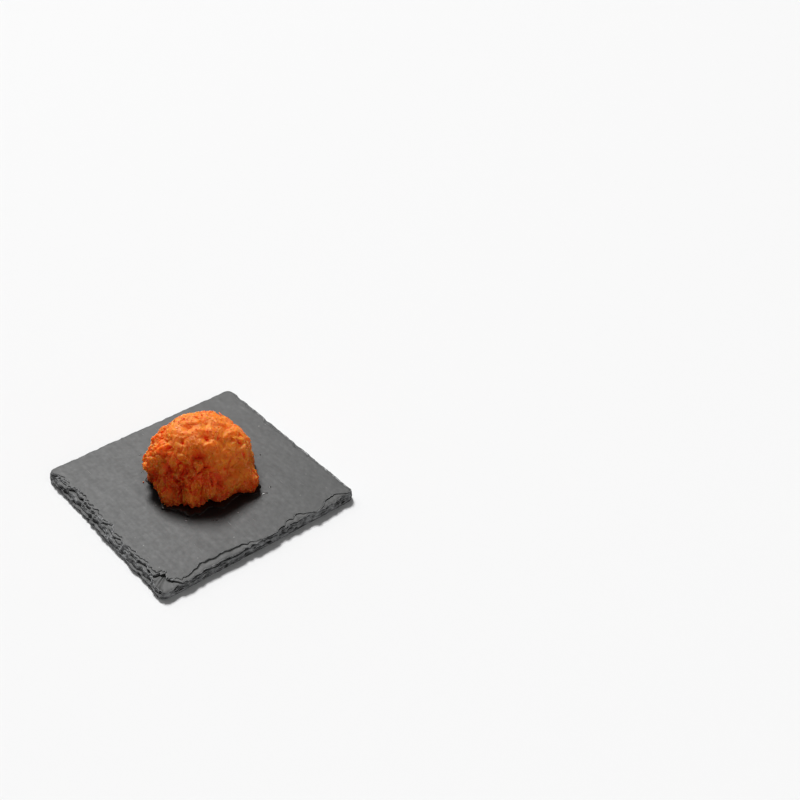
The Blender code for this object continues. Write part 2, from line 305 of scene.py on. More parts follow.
# The mound's mesh: cuts of the cube it grows from, points per chunk and step for slopes
CORE_CUTS = 86
CHUNK = 5000
SLOPE_STEP = 0.02

# Loose eggs: seed and jitter, least and most size, width, height and how far each is sunk
GRAIN_SEED, GRAIN_JITTER = 29, 0.45
GRAIN_SIZES = (0.72, 1.18)
GRAIN_WIDTHS, GRAIN_HEIGHTS = (0.82, 1.0), (0.74, 0.95)
GRAIN_SINKS = (-0.32, 0.04)
GRAIN_CLEARANCE = 0.32
BARE_SHARE = 0.4

# Which kind an egg is: its lot, moved by the painted shade where it sits, is pale below the first and deep
# from the second, so the eggs carry painted light on the crests and painted shade in the hollows
LOT_MIDDLE, LOT_BY_PAINTED_SHADE, KIND_LOTS = 0.35, 1.2, (0.12, 1.05)

# Shreds of skin and chilli flakes: how many, how far apart they stray, and their sizes in millimetres
SHRED_SEED, SHRED_SHAPES, STRAY_JITTER = 37, 4, 2.2
SHRED_COUNT, SHRED_SINK = 46, 0.20 * MM
SHRED_SIZES = ((2.2, 4.6), (0.9, 1.7), (1.0, 1.6))
SHRED_WALL = 0.10
FLAKE_COUNT, FLAKE_LIFT = 10, 0.18 * MM
FLAKE_SIZES, FLAKE_HEIGHT = ((0.6, 1.5), (0.5, 0.9)), 0.22
FLAKE_DENT, FLAKE_NOISE = 0.35, (0.4, 3)

# Eggs on the slate: round which azimuths, and how far from the roe in millimetres, most of them close
FALLEN_SEED, FALLEN_COUNT = 43, 20
FALLEN_AZIMUTHS = (40.0, 290.0)
FALLEN_NEAREST, FALLEN_REACH, FALLEN_CLOSENESS = 0.2, 2.4, 2.5
FALLEN_SIZES, FALLEN_WIDTHS, FALLEN_HEIGHT = (0.7, 1.0), (0.85, 1.0), 0.85
FALLEN_MIDDLE = 0.40

# Wide stretches of the liquor film, widest where the mound's shadow falls, and there its near-black film is
# also
# painted shadow: azimuth, half width in degrees, share of the full spread
LIQUOR_AND_SHADOW_POOLS = ((-30.0, 44.0, 1.0), (28.0, 14.0, 0.35), (-120.0, 22.0, 0.20))

# The liquor film: points round it and its rings, least spread, wavering rim, how far it runs in under the
# roe and down into the slate's pores, and its wall
FILM_POINTS = 240
FILM_RINGS = (0.9, 0.8, 0.7, 0.6, 0.5)
FILM_LEAST = 0.5 * MM
FILM_WAVER, FILM_NOISE = 0.35, (0.22, 97)
FILM_TUCK, FILM_SINK = 2.5 * MM, 0.04 * MM
FILM_RUN, FILM_SLOPE = 0.7, 2.4
FILM_WALL = 0.3 * MM

# Drops and dribbles of liquor on the slate: x, y, length and width, turn in degrees
DRIPS = (
    (25.6 * MM, 18.0 * MM, 2.6 * MM, 0.8 * MM, 62.0),
    (23.6 * MM, 22.2 * MM, 1.1 * MM, 0.8 * MM, 20.0),
    (26.6 * MM, -8.6 * MM, 2.0 * MM, 0.7 * MM, 55.0),
    (-24.6 * MM, -12.8 * MM, 1.5 * MM, 0.9 * MM, 30.0),
    (-21.9 * MM, -16.4 * MM, 1.0 * MM, 0.8 * MM, 0.0),
    (-26.2 * MM, -10.1 * MM, 0.8 * MM, 0.6 * MM, 10.0),
    (18.3 * MM, -18.2 * MM, 1.2 * MM, 0.7 * MM, 40.0),
    (-30.1 * MM, 3.0 * MM, 0.9 * MM, 0.7 * MM, 0.0),
    (2.0 * MM, 31.5 * MM, 1.2 * MM, 0.8 * MM, -20.0),
    (-33.2 * MM, -11.0 * MM, 1.0 * MM, 0.5 * MM, 60.0),
)
DRIP_FLARE = (1.2, 1.4)
DRIP_HEIGHT = 0.18 * MM

# The photo's camera, and how narrow the two soft glows of the sky are
CAMERA_PLACE = (384.196 * MM, -201.528 * MM, 367.946 * MM)
CAMERA_TARGET = (5.8 * MM, 112.4 * MM, 0.0)
SENSOR_WIDTH = 36.0
CLIP_START = 0.01
FLOOR_SIDE = 8.0
GLOW_SHARPNESS = 10.0
FRONT_SHARPNESS = 3.0


def length_setting(name, description, default, least, most):
    """A length setting: default, least and most in metres."""
    return bpy.props.FloatProperty(
        name=name, description=description, default=default, min=least, max=most, precision=5, unit="LENGTH",
    )


def colour_setting(name, description, default):
    """A colour setting."""
    return bpy.props.FloatVectorProperty(
        name=name, description=description, default=default, min=0.0, max=1.0, subtype="COLOR",
    )


def angle_setting(name, description, degrees):
    """An angle setting."""
    return bpy.props.FloatProperty(
        name=name, description=description, default=math.radians(degrees), subtype="ANGLE",
    )


def strength_setting(name, description, default):
    """A setting for the strength of a light."""
    return bpy.props.FloatProperty(name=name, description=description, default=default, min=0.0)


class MentaikoSlateSettings(bpy.types.PropertyGroup):
    """Sizes and colours of the slate plate."""

    edge_relief: length_setting(
        "Edge relief", "How far the thin leaves of the split edge stand in and out", 0.30 * MM, 0.0, 1.0 * MM
    )
    crack_depth: length_setting(
        "Crack depth", "How deep the cracks between the leaves run in", 1.3 * MM, 0.0, 3.0 * MM
    )
    top_relief: length_setting(
        "Top relief", "Height of the swells and steps of the split top", 0.16 * MM, 0.0, 0.5 * MM
    )
    colour: colour_setting("Slate", "Colour of the split top", (0.050, 0.0504, 0.0492))
    edge_colour: colour_setting("Split edge", "Colour of the broken edge", (0.27, 0.273, 0.276))
    bruise_colour: colour_setting(
        "Bruises", "Pale marks where the slate is knocked or scratched", (0.30, 0.30, 0.29)
    )


class MentaikoRoeSettings(bpy.types.PropertyGroup):
    """Sizes and colours of the roe."""

    grain_size: length_setting(
        "Grain size", "Mean diameter of one egg of the roe", 0.76 * MM, 0.3 * MM, 2.0 * MM
    )
    grain_count: bpy.props.IntProperty(
        name="Grains", description="How many loose eggs cover the mound", default=2800, min=100, max=12000,
    )
    paste_colour: colour_setting("Roe", "Colour of the roe on the crests", (0.90, 0.265, 0.034))
    # The deeper red is both the colour of the deep grains and the painted shade of the roe's hollows
    deep_and_shade_colour: colour_setting("Hollows", "Colour of the roe down in the hollows", (0.88, 0.105, 0.016))
    pale_colour: colour_setting("Pale grains", "Colour of the palest grains", (0.96, 0.30, 0.07))
    skin_colour: colour_setting("Skin", "Colour of the shreds of skin", (0.86, 0.24, 0.055))
    chilli_colour: colour_setting("Chilli", "Colour of the darkest chilli flakes", (0.62, 0.045, 0.012))
    pale_chilli_colour: colour_setting(
        "Pale chilli", "Colour of the palest chilli flakes", (0.75, 0.09, 0.02)
    )


class MentaikoLiquorSettings(bpy.types.PropertyGroup):
    """The seasoning liquor that has run out of the roe."""

    depth: length_setting(
        "Depth", "Thickness of the film round the mound's foot", 0.35 * MM, 0.05 * MM, 1.0 * MM
    )
    spread: length_setting(
        "Spread", "How far the film reaches past the roe on its wide side", 3.7 * MM, 0.5 * MM, 8.0 * MM
    )
    # Near black: the film is liquor and also painted shadow round the roe's foot
    colour: colour_setting("Liquor", "Colour of the film over the slate", (0.014, 0.006, 0.004))


class MentaikoStageSettings(bpy.types.PropertyGroup):
    """Floor, light and camera."""

    floor_colour: colour_setting("Floor", "Colour of the floor", (0.83, 0.83, 0.83))
    key_strength: strength_setting("Key strength", "Strength of the soft key light", 2.95)
    key_azimuth: angle_setting("Key azimuth", "Where the key light stands, round from +X", 158.0)
    key_elevation: angle_setting("Key elevation", "How high the key light stands", 47.5)
    key_softness: angle_setting("Key softness", "How wide the key light looks from the plate", 14.0)
    fill_strength: strength_setting("Fill", "Strength of the light from all round", 0.035)
    glow_strength: strength_setting("Glow", "Strength of the wide soft glow behind the key light", 1.20)
    glow_azimuth: angle_setting("Glow azimuth", "Where the middle of the glow is, round from +X", 177.0)
    glow_elevation: angle_setting("Glow elevation", "How high the middle of the glow stands", 42.0)
    front_strength: strength_setting(
        "Front glow", "Strength of the low soft glow opposite the key light", 0.68
    )
    front_azimuth: angle_setting(
        "Front azimuth", "Where the middle of the front glow is, round from +X", 12.0
    )
    front_elevation: angle_setting("Front elevation", "How high the middle of the front glow stands", 10.0)
    lens: bpy.props.FloatProperty(
        name="Lens", description="Focal length of the camera on a 36 mm sensor",
        default=55.87, min=10.0, unit="CAMERA",
    )


class Wire:
    """A shader socket that takes part in Python expressions."""

    def __init__(self, sheet, socket):
        self.sheet = sheet
        self.socket = socket

    def maths(self, operation, first, second):
        return self.sheet.node("ShaderNodeMath", {"operation": operation}, {0: first, 1: second})

    def larger(self, other):
        return self.maths("MAXIMUM", self, other)

    def __add__(self, other):
        return self.maths("ADD", self, other)

    def __radd__(self, other):
        return self.maths("ADD", other, self)

    def __sub__(self, other):
        return self.maths("SUBTRACT", self, other)

    def __rsub__(self, other):
        return self.maths("SUBTRACT", other, self)

    def __mul__(self, other):
        return self.maths("MULTIPLY", self, other)

    def __rmul__(self, other):
        return self.maths("MULTIPLY", other, self)

    def __truediv__(self, other):
        return self.maths("DIVIDE", self, other)

    def __pow__(self, other):
        return self.maths("POWER", self, other)


class NodeSheet:
    """A node tree and the one way of adding nodes to it."""

    def __init__(self, tree):
        self.tree = tree

    def node(self, kind, settings=None, inputs=None, output=0):
        """Add a node: its settings first, then the values or links of its sockets."""
        made = self.tree.nodes.new(kind)
        for key, value in (settings or {}).items():
            if key == "stops":
                for element, (position, shade) in zip(made.color_ramp.elements, value):
                    element.position = position
                    element.color = (shade, shade, shade, 1.0)
            else:
                setattr(made, key, value)
        for key, value in (inputs or {}).items():
            if isinstance(value, Wire):
                self.tree.links.new(value.socket, made.inputs[key])
            else:
                made.inputs[key].default_value = value
        return Wire(self, made.outputs[output])


class MaterialSheet(NodeSheet):
    """A Principled material and what its looks are made of."""

    def __init__(self, name, **uniform):
        self.material = bpy.data.materials.new(name)
        self.material.use_nodes = True
        super().__init__(self.material.node_tree)
        self.surface = self.tree.nodes["Principled BSDF"]
        for socket, value in uniform.items():
            self.surface.inputs[socket.replace("_", " ")].default_value = value

    def feed(self, socket, wire):
        """Link a wire to one of the surface's sockets."""
        self.tree.links.new(wire.socket, self.surface.inputs[socket])

    def place(self, scale=(1.0, 1.0, 1.0), turn=0.0, shift=(0.0, 0.0, 0.0)):
        """The point on the piece in millimetres, turned about Z and then scaled."""
        point = self.node("ShaderNodeTexCoord", output=3)
        stretch = [value / MM for value in scale]
        return self.node(
            "ShaderNodeMapping", {"vector_type": "POINT"},
            {"Vector": point, "Rotation": (0.0, 0.0, turn), "Scale": stretch, "Location": shift},
        )

    def noise(self, size, detail=3.0, roughness=0.5, point=None):
        """Cloudy noise from 0 to 1, with swells of a size in millimetres."""
        inputs = {"Scale": 1.0 / size, "Detail": detail, "Roughness": roughness}
        return self.node("ShaderNodeTexNoise", inputs={"Vector": point or self.place(), **inputs})

    def cells(self, size, point=None):
        """Distance to the middle of the nearest cell, with cells of a size in millimetres."""
        inputs = {"Vector": point or self.place(), "Scale": 1.0 / size}
        return self.node("ShaderNodeTexVoronoi", inputs=inputs)

    def ramp(self, value, low, high):
        """0 below low, 1 above high and a smooth rise between them."""
        settings = {"interpolation_type": "SMOOTHSTEP"}
        return self.node("ShaderNodeMapRange", settings, {0: value, 1: low, 2: high})

    def blend(self, share, first, second):
        """A colour between two, by a share from 0 to 1."""
        pair = [tone if isinstance(tone, Wire) else (*tone[:3], 1.0) for tone in (first, second)]
        return self.node("ShaderNodeMix", {"data_type": "RGBA"}, {0: share, 6: pair[0], 7: pair[1]}, 2)

    def shade(self, tone, factor):
        """A colour made darker or lighter by a factor."""
        grey = self.node("ShaderNodeCombineColor", inputs={0: factor, 1: factor, 2: factor})
        settings = {"data_type": "RGBA", "blend_type": "MULTIPLY"}
        return self.node("ShaderNodeMix", settings, {0: 1.0, 6: tone, 7: grey}, 2)

    def attribute(self, name):
        """A number stored on the piece's points."""
        return self.node("ShaderNodeAttribute", {"attribute_name": name}, output=2)

    def bump(self, height, distance, strength=1.0):
        """Fine relief, whose height of 1 stands a distance proud."""
        inputs = {"Height": height, "Distance": distance, "Strength": strength}
        self.feed("Normal", self.node("ShaderNodeBump", inputs=inputs))


# Large odd numbers that scramble a cell's place and the seed into one random number
PLACE_FACTORS = (73856093, 19349663, 83492791)
SEED_FACTOR = 2654435761
SCRAMBLE_FACTORS = (1274126177, 668265263)
OCTAVE_FADE = 1.8


def smooth_noise(points, size, seed):
    """Smooth random values from -1 to 1 at points, with swells of a given size."""
    cells = points / size
    base = np.floor(cells).astype(np.int64)
    share = cells - base
    share = share * share * (3 - 2 * share)
    total = np.zeros(len(points))
    for corner in itertools.product((0, 1), repeat=3):
        weight = np.prod(np.where(corner, share, 1 - share), axis=1)
        key = (base + corner) @ np.array(PLACE_FACTORS) + seed * SEED_FACTOR
        key = (key ^ (key >> 13)) * SCRAMBLE_FACTORS[0]
        key = (key ^ (key >> 16)) * SCRAMBLE_FACTORS[1]
        key = (key ^ (key >> 15)) & 0xFFFF
        total += weight * (key / 32767.5 - 1)
    return total


def rough_noise(points, size, seed, octaves=3):
    """Smooth noise with finer and fainter noise on it."""
    total = np.zeros(len(points))
    for octave in range(octaves):
        total += smooth_noise(points, size / 2**octave, seed + octave) / OCTAVE_FADE**octave
    return total


def start_primitive(adder, name, **how):
    """Add a primitive, with nothing else selected, and open it in edit mode, selected all over."""
    bpy.ops.object.select_all(action="DESELECT")
    adder(**how)
    piece = bpy.context.object
    piece.name = name
    piece.data.name = name
    bpy.ops.object.mode_set(mode="EDIT")
    bpy.ops.mesh.select_all(action="SELECT")
    return piece


def close_outwards(piece):
    """Point all faces outwards and leave edit mode."""
    bpy.ops.mesh.select_all(action="SELECT")
    bpy.ops.mesh.normals_make_consistent(inside=False)
    bpy.ops.object.mode_set(mode="OBJECT")


def points_of(mesh):
    """The mesh's points as rows of x, y, z."""
    flat = np.empty(len(mesh.vertices) * 3)
    mesh.vertices.foreach_get("co", flat)
    return flat.reshape(-1, 3)


def place_points(mesh, points):
    """Move the mesh's points."""
    mesh.vertices.foreach_set("co", np.ascontiguousarray(points, dtype=np.float32).ravel())
    mesh.update()


def store(mesh, name, values):
    """Keep a number for each point, for the material."""
    attribute = mesh.attributes.new(name, "FLOAT", "POINT")
    attribute.data.foreach_set("value", np.asarray(values, dtype=np.float32))


def finish_piece(piece, sheet, smooth=True):
    """Give a piece its material and its body."""
    piece.data.materials.clear()
    piece.data.materials.append(sheet.material)
    piece.data.polygons.foreach_set("use_smooth", np.full(len(piece.data.polygons), smooth))
    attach(piece, "root")
    return piece


def joined_copies(name, templates, choices, frames, sizes, centres, tones):
    """One mesh of many copies: template number, axes, sizes along them, middle and tone of each."""
    points, corners, starts, kept_tones = [], [], [], []
    offset = 0
    for number, template in enumerate(templates):
        shape = points_of(template)
        picked = np.flatnonzero(choices == number)
        if not len(picked):
            continue
        sized = shape[None, :, :] * sizes[picked][:, None, :]
        placed = np.einsum("nij,nki->nkj", frames[picked], sized) + centres[picked][:, None, :]
        points.append(placed.reshape(-1, 3))
        kept_tones.append(np.repeat(tones[picked], len(shape)))
        face_sizes = np.array([len(face.vertices) for face in template.polygons])
        face_corners = np.concatenate([face.vertices[:] for face in template.polygons])
        shifts = offset + np.arange(len(picked)) * len(shape)
        corners.append((face_corners[None, :] + shifts[:, None]).ravel())
        starts.append(np.tile(face_sizes, len(picked)))
        offset += len(picked) * len(shape)
    mesh = bpy.data.meshes.new(name)
    all_points = np.concatenate(points)
    all_corners = np.concatenate(corners)
    all_sizes = np.concatenate(starts)
    mesh.vertices.add(len(all_points))
    mesh.loops.add(len(all_corners))
    mesh.polygons.add(len(all_sizes))
    mesh.vertices.foreach_set("co", all_points.astype(np.float32).ravel())
    mesh.loops.foreach_set("vertex_index", all_corners.astype(np.int32))
    mesh.polygons.foreach_set("loop_start", (np.cumsum(all_sizes) - all_sizes).astype(np.int32))
    mesh.update(calc_edges=True)
    mesh.validate()
    store(mesh, "tone", np.concatenate(kept_tones))
    piece = bpy.data.objects.new(name, mesh)
    bpy.context.scene.collection.objects.link(piece)
    return piece


def outline_places(runs):
    """Places on the rounded square and the ways out from there, at distances round it."""
    half = PLATE_SIDE / 2
    side = (runs // PLATE_SIDE).astype(int) % 4
    along = runs % PLATE_SIDE - half
    sign = np.where(along < 0, -1.0, 1.0)
    past_straight = np.maximum(np.abs(along) - (half - CORNER_RADIUS), 0.0)
    swing = past_straight / CORNER_RADIUS * math.pi / 4
    x = along - sign * past_straight + sign * CORNER_RADIUS * np.sin(swing)
    y = -half + CORNER_RADIUS * (1 - np.cos(swing))
    spread = np.maximum(np.abs(along) - (half - CORNER_SPREAD), 0.0) / CORNER_SPREAD * math.pi / 4
    out_x = sign * np.sin(spread)
    out_y = -np.cos(spread)
    cos, sin = np.cos(side * math.pi / 2), np.sin(side * math.pi / 2)
    places = np.stack([x * cos - y * sin, x * sin + y * cos], axis=1)
    outward = np.stack([out_x * cos - out_y * sin, out_x * sin + out_y * cos], axis=1)
    return places, outward


def edge_chips():
    """All chips along the plate's edge, the large ones and the seeded small ones."""
    draw = random.Random(CHIP_SEED)
    chips = list(LARGE_CHIPS)
    for side, count in enumerate(SMALL_CHIPS_PER_SIDE):
        pitch = PLATE_SIDE / count
        for number in range(count):
            place = side * PLATE_SIDE + (number + draw.uniform(*SMALL_CHIP_SPREAD)) * pitch
            half_width = draw.uniform(*SMALL_CHIP_HALF_WIDTH)
            chips.append((place, half_width, draw.uniform(*SMALL_CHIP_DEPTH)))
    return chips


def away_along(runs, place):
    """Distance round the square from a place on it, either way."""
    around = 4 * PLATE_SIDE
    return np.abs((runs - place + around / 2) % around - around / 2)


def chip_depth(runs, chips):
    """How far the edge is chipped back at distances round the square."""
    depth = np.zeros(len(runs))
    for place, half_width, deepest in chips:
        depth += deepest * np.clip(1 - (away_along(runs, place) / half_width) ** 2, 0.0, None)
    return depth


def side_value(runs, values):
    """A value that belongs to each side, blended from side to side round the corners."""
    blend = 2 * CORNER_RADIUS
    values = np.array(values)
    side = (runs // PLATE_SIDE).astype(int) % 4
    along = runs % PLATE_SIDE
    near_start = np.clip(0.5 + along / blend / 2, 0.0, 1.0)
    near_end = np.clip(0.5 + (PLATE_SIDE - along) / blend / 2, 0.0, 1.0)
    here = values[side]
    blended = here * near_start + values[side - 1] * (1 - near_start)
    return np.where(near_start < 1, blended, here * near_end + values[(side + 1) % 4] * (1 - near_end))


def layer_edges(runs):
    """Bottom and top of each layer: a height and a set-back for every run, as in the solid."""
    chips = edge_chips()
    edges = []
    for layer, (bottom, top, sides, lean, chip_share) in enumerate(SLATE_LAYERS):
        broken = [chip[1:] for chip in BREAKS if layer >= chip[0]]
        at_top = side_value(runs, sides) + chip_share * chip_depth(runs, chips) + chip_depth(runs, broken)
        at_bottom = at_top - lean
        if edges:
            bottom += LEAST_STEP
            at_bottom = np.maximum(at_bottom, edges[-1][1] + LEAST_STEP)
            at_top = np.maximum(at_top, at_bottom + LEAST_STEP)
        edges.append((bottom, at_bottom))
        edges.append((top, at_top))
    return edges


def slate_shift():
    """What brings the solid's bounding box to the middle, as the part's source does."""
    runs = np.arange(OUTLINE_POINTS) * 4 * PLATE_SIDE / OUTLINE_POINTS
    places, outward = outline_places(runs)
    rings = np.concatenate([places - outward * back[:, None] for _, back in layer_edges(runs)])
    return -(rings.min(axis=0) + rings.max(axis=0)) / 2


def nibble_draws(leaf_total):
    """Small bites out of the leaves: first leaf bitten, place round the square, half width, depth."""
    draw = random.Random(NIBBLE_SEED)
    nibbles = []
    for side, count in enumerate(NIBBLES_PER_SIDE):
        for number in range(count):
            place = (side + (number + draw.uniform(0.0, 1.0)) / count) * PLATE_SIDE
            half_width = draw.uniform(*NIBBLE_HALF_WIDTH)
            deepest = draw.uniform(*NIBBLE_DEPTH)
            nibbles.append((draw.randrange(1, leaf_total), place, half_width, deepest))
    return nibbles


def slate_leaves(runs, edge_relief, crack_depth):
    """The thin leaves of the edge, from the underside up.

    Each has its floor and ceiling, its lower and upper set-back, the depth and the opening of the crack
    below it, its own points for noise, and how far it is parted from the leaf below.
    """
    places, _ = outline_places(runs)
    flat = np.column_stack([places, np.zeros(len(runs))])
    leaf_total = sum(LEAVES_PER_LAYER)
    nibbles = nibble_draws(leaf_total)
    waver = WAVER_RISE * rough_noise(flat, *WAVER_NOISE) * side_value(runs, WAVER_BY_SIDE)
    solid_edges = layer_edges(runs)
    leaves = []
    for layer, leaf_count in enumerate(LEAVES_PER_LAYER):
        (_, back_low), (top, back_high) = solid_edges[2 * layer], solid_edges[2 * layer + 1]
        bottom = SLATE_LAYERS[layer][0]
        for number in range(leaf_count):
            leaf = len(leaves)
            low, high = number / leaf_count, (number + 1) / leaf_count
            stratum = flat + np.array([0.0, 0.0, leaf * STRATUM_SHIFT])
            level = bottom + (top - bottom) * high
            room = min(max(min(level, PLATE_THICKNESS - level) / WAVER_ROOM, 0.0), 1.0)
            floor = leaves[-1][1] if leaves else np.zeros(len(runs))
            ripple = RIPPLE_RISE * rough_noise(stratum, *RIPPLE_NOISE) * side_value(runs, RIPPLE_BY_SIDE)
            ceiling = level + room * (waver + ripple)
            ceiling = np.maximum(ceiling, floor + LEAST_LEAF) if leaf + 1 < leaf_total else ceiling
            ragged = BROAD_SHARE * rough_noise(stratum, *BROAD_NOISE)
            ragged += FINE_SHARE * smooth_noise(stratum, *FINE_NOISE)
            ragged += SPLIT_SHARE * rough_noise(stratum * np.array(SPLIT_STRETCH), *SPLIT_NOISE)
            ragged *= edge_relief * side_value(runs, RELIEF_BY_SIDE)
            ragged *= LOWEST_LEAF_SHARE + (1 - LOWEST_LEAF_SHARE) * leaf / (leaf_total - 1)
            bites = np.zeros(len(runs))
            for first, *nibble in nibbles:
                if first <= leaf:
                    bites += (1 + NIBBLE_GROWTH * (leaf - first)) * chip_depth(runs, [nibble])
            bites *= side_value(runs, NIBBLES_BY_SIDE)
            lower = back_low * (1 - low) + back_high * low + ragged + bites
            upper = back_low * (1 - high) + back_high * high + ragged + bites
            gaping = np.clip(rough_noise(stratum, *CRACK_NOISE) * CRACK_CONTRAST - CRACK_RARITY, 0.0, 1.0)
            gaping *= side_value(runs, CRACKS_BY_SIDE)
            for above, place, half_width, share in LONG_CRACKS:
                if leaf == above:
                    wandering = LONG_CRACK_MEAN + LONG_CRACK_WANDER * rough_noise(flat, *LONG_CRACK_NOISE)
                    wandering = np.clip(wandering, *LONG_CRACK_LIMITS)
                    near = np.sqrt(np.clip(1 - (away_along(runs, place) / half_width) ** 2, 0.0, None))
                    gaping = np.maximum(gaping, LONG_CRACK_GAPE * share * near * wandering)
            fused = np.clip(rough_noise(stratum, *FUSED_NOISE) * FUSED_CONTRAST + FUSED_MEAN, 0.0, 1.0)
            fused *= np.clip(1 - gaping, 0.0, 1.0)
            parted = np.ones(len(runs))
            if leaves:
                step = lower - leaves[-1][3]
                parted = np.where(np.abs(step) < FUSED_STEP, 1 - fused, 1.0)
                lower = leaves[-1][3] + step * parted
            depth = crack_depth * gaping
            opening = np.minimum(SLIT + SLIT_FLARE * depth, MOST_OPENING * (ceiling - floor))
            if leaf == 0:
                depth, opening = (np.full(len(runs), size) for size in FOOT_CRACK)
            leaves.append((floor, ceiling, lower, upper, depth, opening, stratum, parted))
    return leaves


def edge_rings(runs, edge_relief, crack_depth):
    """The dressed edge from the underside up: rows of heights, set-backs, and how far each is a lip or
    steep.

    Each leaf has a crack under it, a lip, a face and a shelf on top that runs in to the next leaf.
    """
    rows = []
    leaves = slate_leaves(runs, edge_relief, crack_depth)
    partings = [leaf[-1] for leaf in leaves[1:]] + [np.ones(len(runs))]
    rim = None
    for leaf, above in zip(leaves, partings):
        floor, ceiling, lower, upper, depth, opening, stratum, parted = leaf
        inner = lower + depth
        if rim is not None:
            inner = np.maximum(inner, rim + SHELF_DEPTH + PARTED_SHELF_DEPTH * parted)
            shelf = SHELF_RISE * smooth_noise(stratum, *SHELF_NOISE)
            for share in (1 / 3, 2 / 3):
                rows.append((floor + shelf, rim * (1 - share) + inner * share, 0.2, 1.0 - parted))
        grit = GRIT_RISE * rough_noise(stratum, *GRIT_NOISE)
        rim = upper + RIM_DEPTH + PARTED_RIM_DEPTH * above
        middle = (1 - FACE_HEIGHT) * (floor + opening) + FACE_HEIGHT * ceiling
        rows.append((floor, inner, 0.0, 1.0 - parted))
        rows.append((floor + opening, inner, 0.0, 1.0 - 0.5 * parted))
        rows.append((floor + opening + SLIT, lower + LIP_DEPTH, 0.3 * parted, 1.0))
        rows.append((middle, (lower + upper) / 2 - FACE_BULGE + grit, 0.1, 1.0))
        rows.append((ceiling - RIM_DROP, upper, 0.2 + 0.8 * above, 1.0 - 0.1 * above))
        rows.append((ceiling, rim, 0.2 + 0.7 * above, 1.0 - above))
    return [np.array([np.broadcast_to(row[part], len(runs)) for row in rows]) for part in range(4)]


def top_relief_at(points, height):
    """Swells and shallow split steps of the slate's top: how far it lies below its highest plane."""
    swell = rough_noise(points, *SWELL_NOISE)
    terrace = rough_noise(points, *TERRACE_NOISE, octaves=TERRACE_OCTAVES) * TERRACE_COUNT
    share = terrace - np.floor(terrace)
    steps = np.floor(terrace) + np.clip((share - 0.5) / TERRACE_EDGE + 0.5, 0.0, 1.0)
    grain = rough_noise(points, *GRAIN_NOISE)
    relief = SWELL_WEIGHT * swell + TERRACE_WEIGHT * steps + GRAIN_WEIGHT * grain
    return height * (relief - 1.0)


def painted_shadow_share(points):
    """How much painted shadow the slate has at points: 1 close to the roe and 0 from the rim of the patch
    on.
    """
    x, y = points[:, 0] - MOUND_CENTRE[0], points[:, 1] - MOUND_CENTRE[1]
    turned = np.arctan2(y, x) - math.radians(PAINTED_SHADOW_AZIMUTH)
    reach = PAINTED_SHADOW_REACH - PAINTED_SHADOW_LOSS * (1 - np.cos(turned)) / 2
    reach += PAINTED_SHADOW_WANDER * rough_noise(points, *PAINTED_SHADOW_NOISE)
    return np.clip((reach - np.hypot(x, y)) / PAINTED_SHADOW_FADE, 0.0, 1.0)


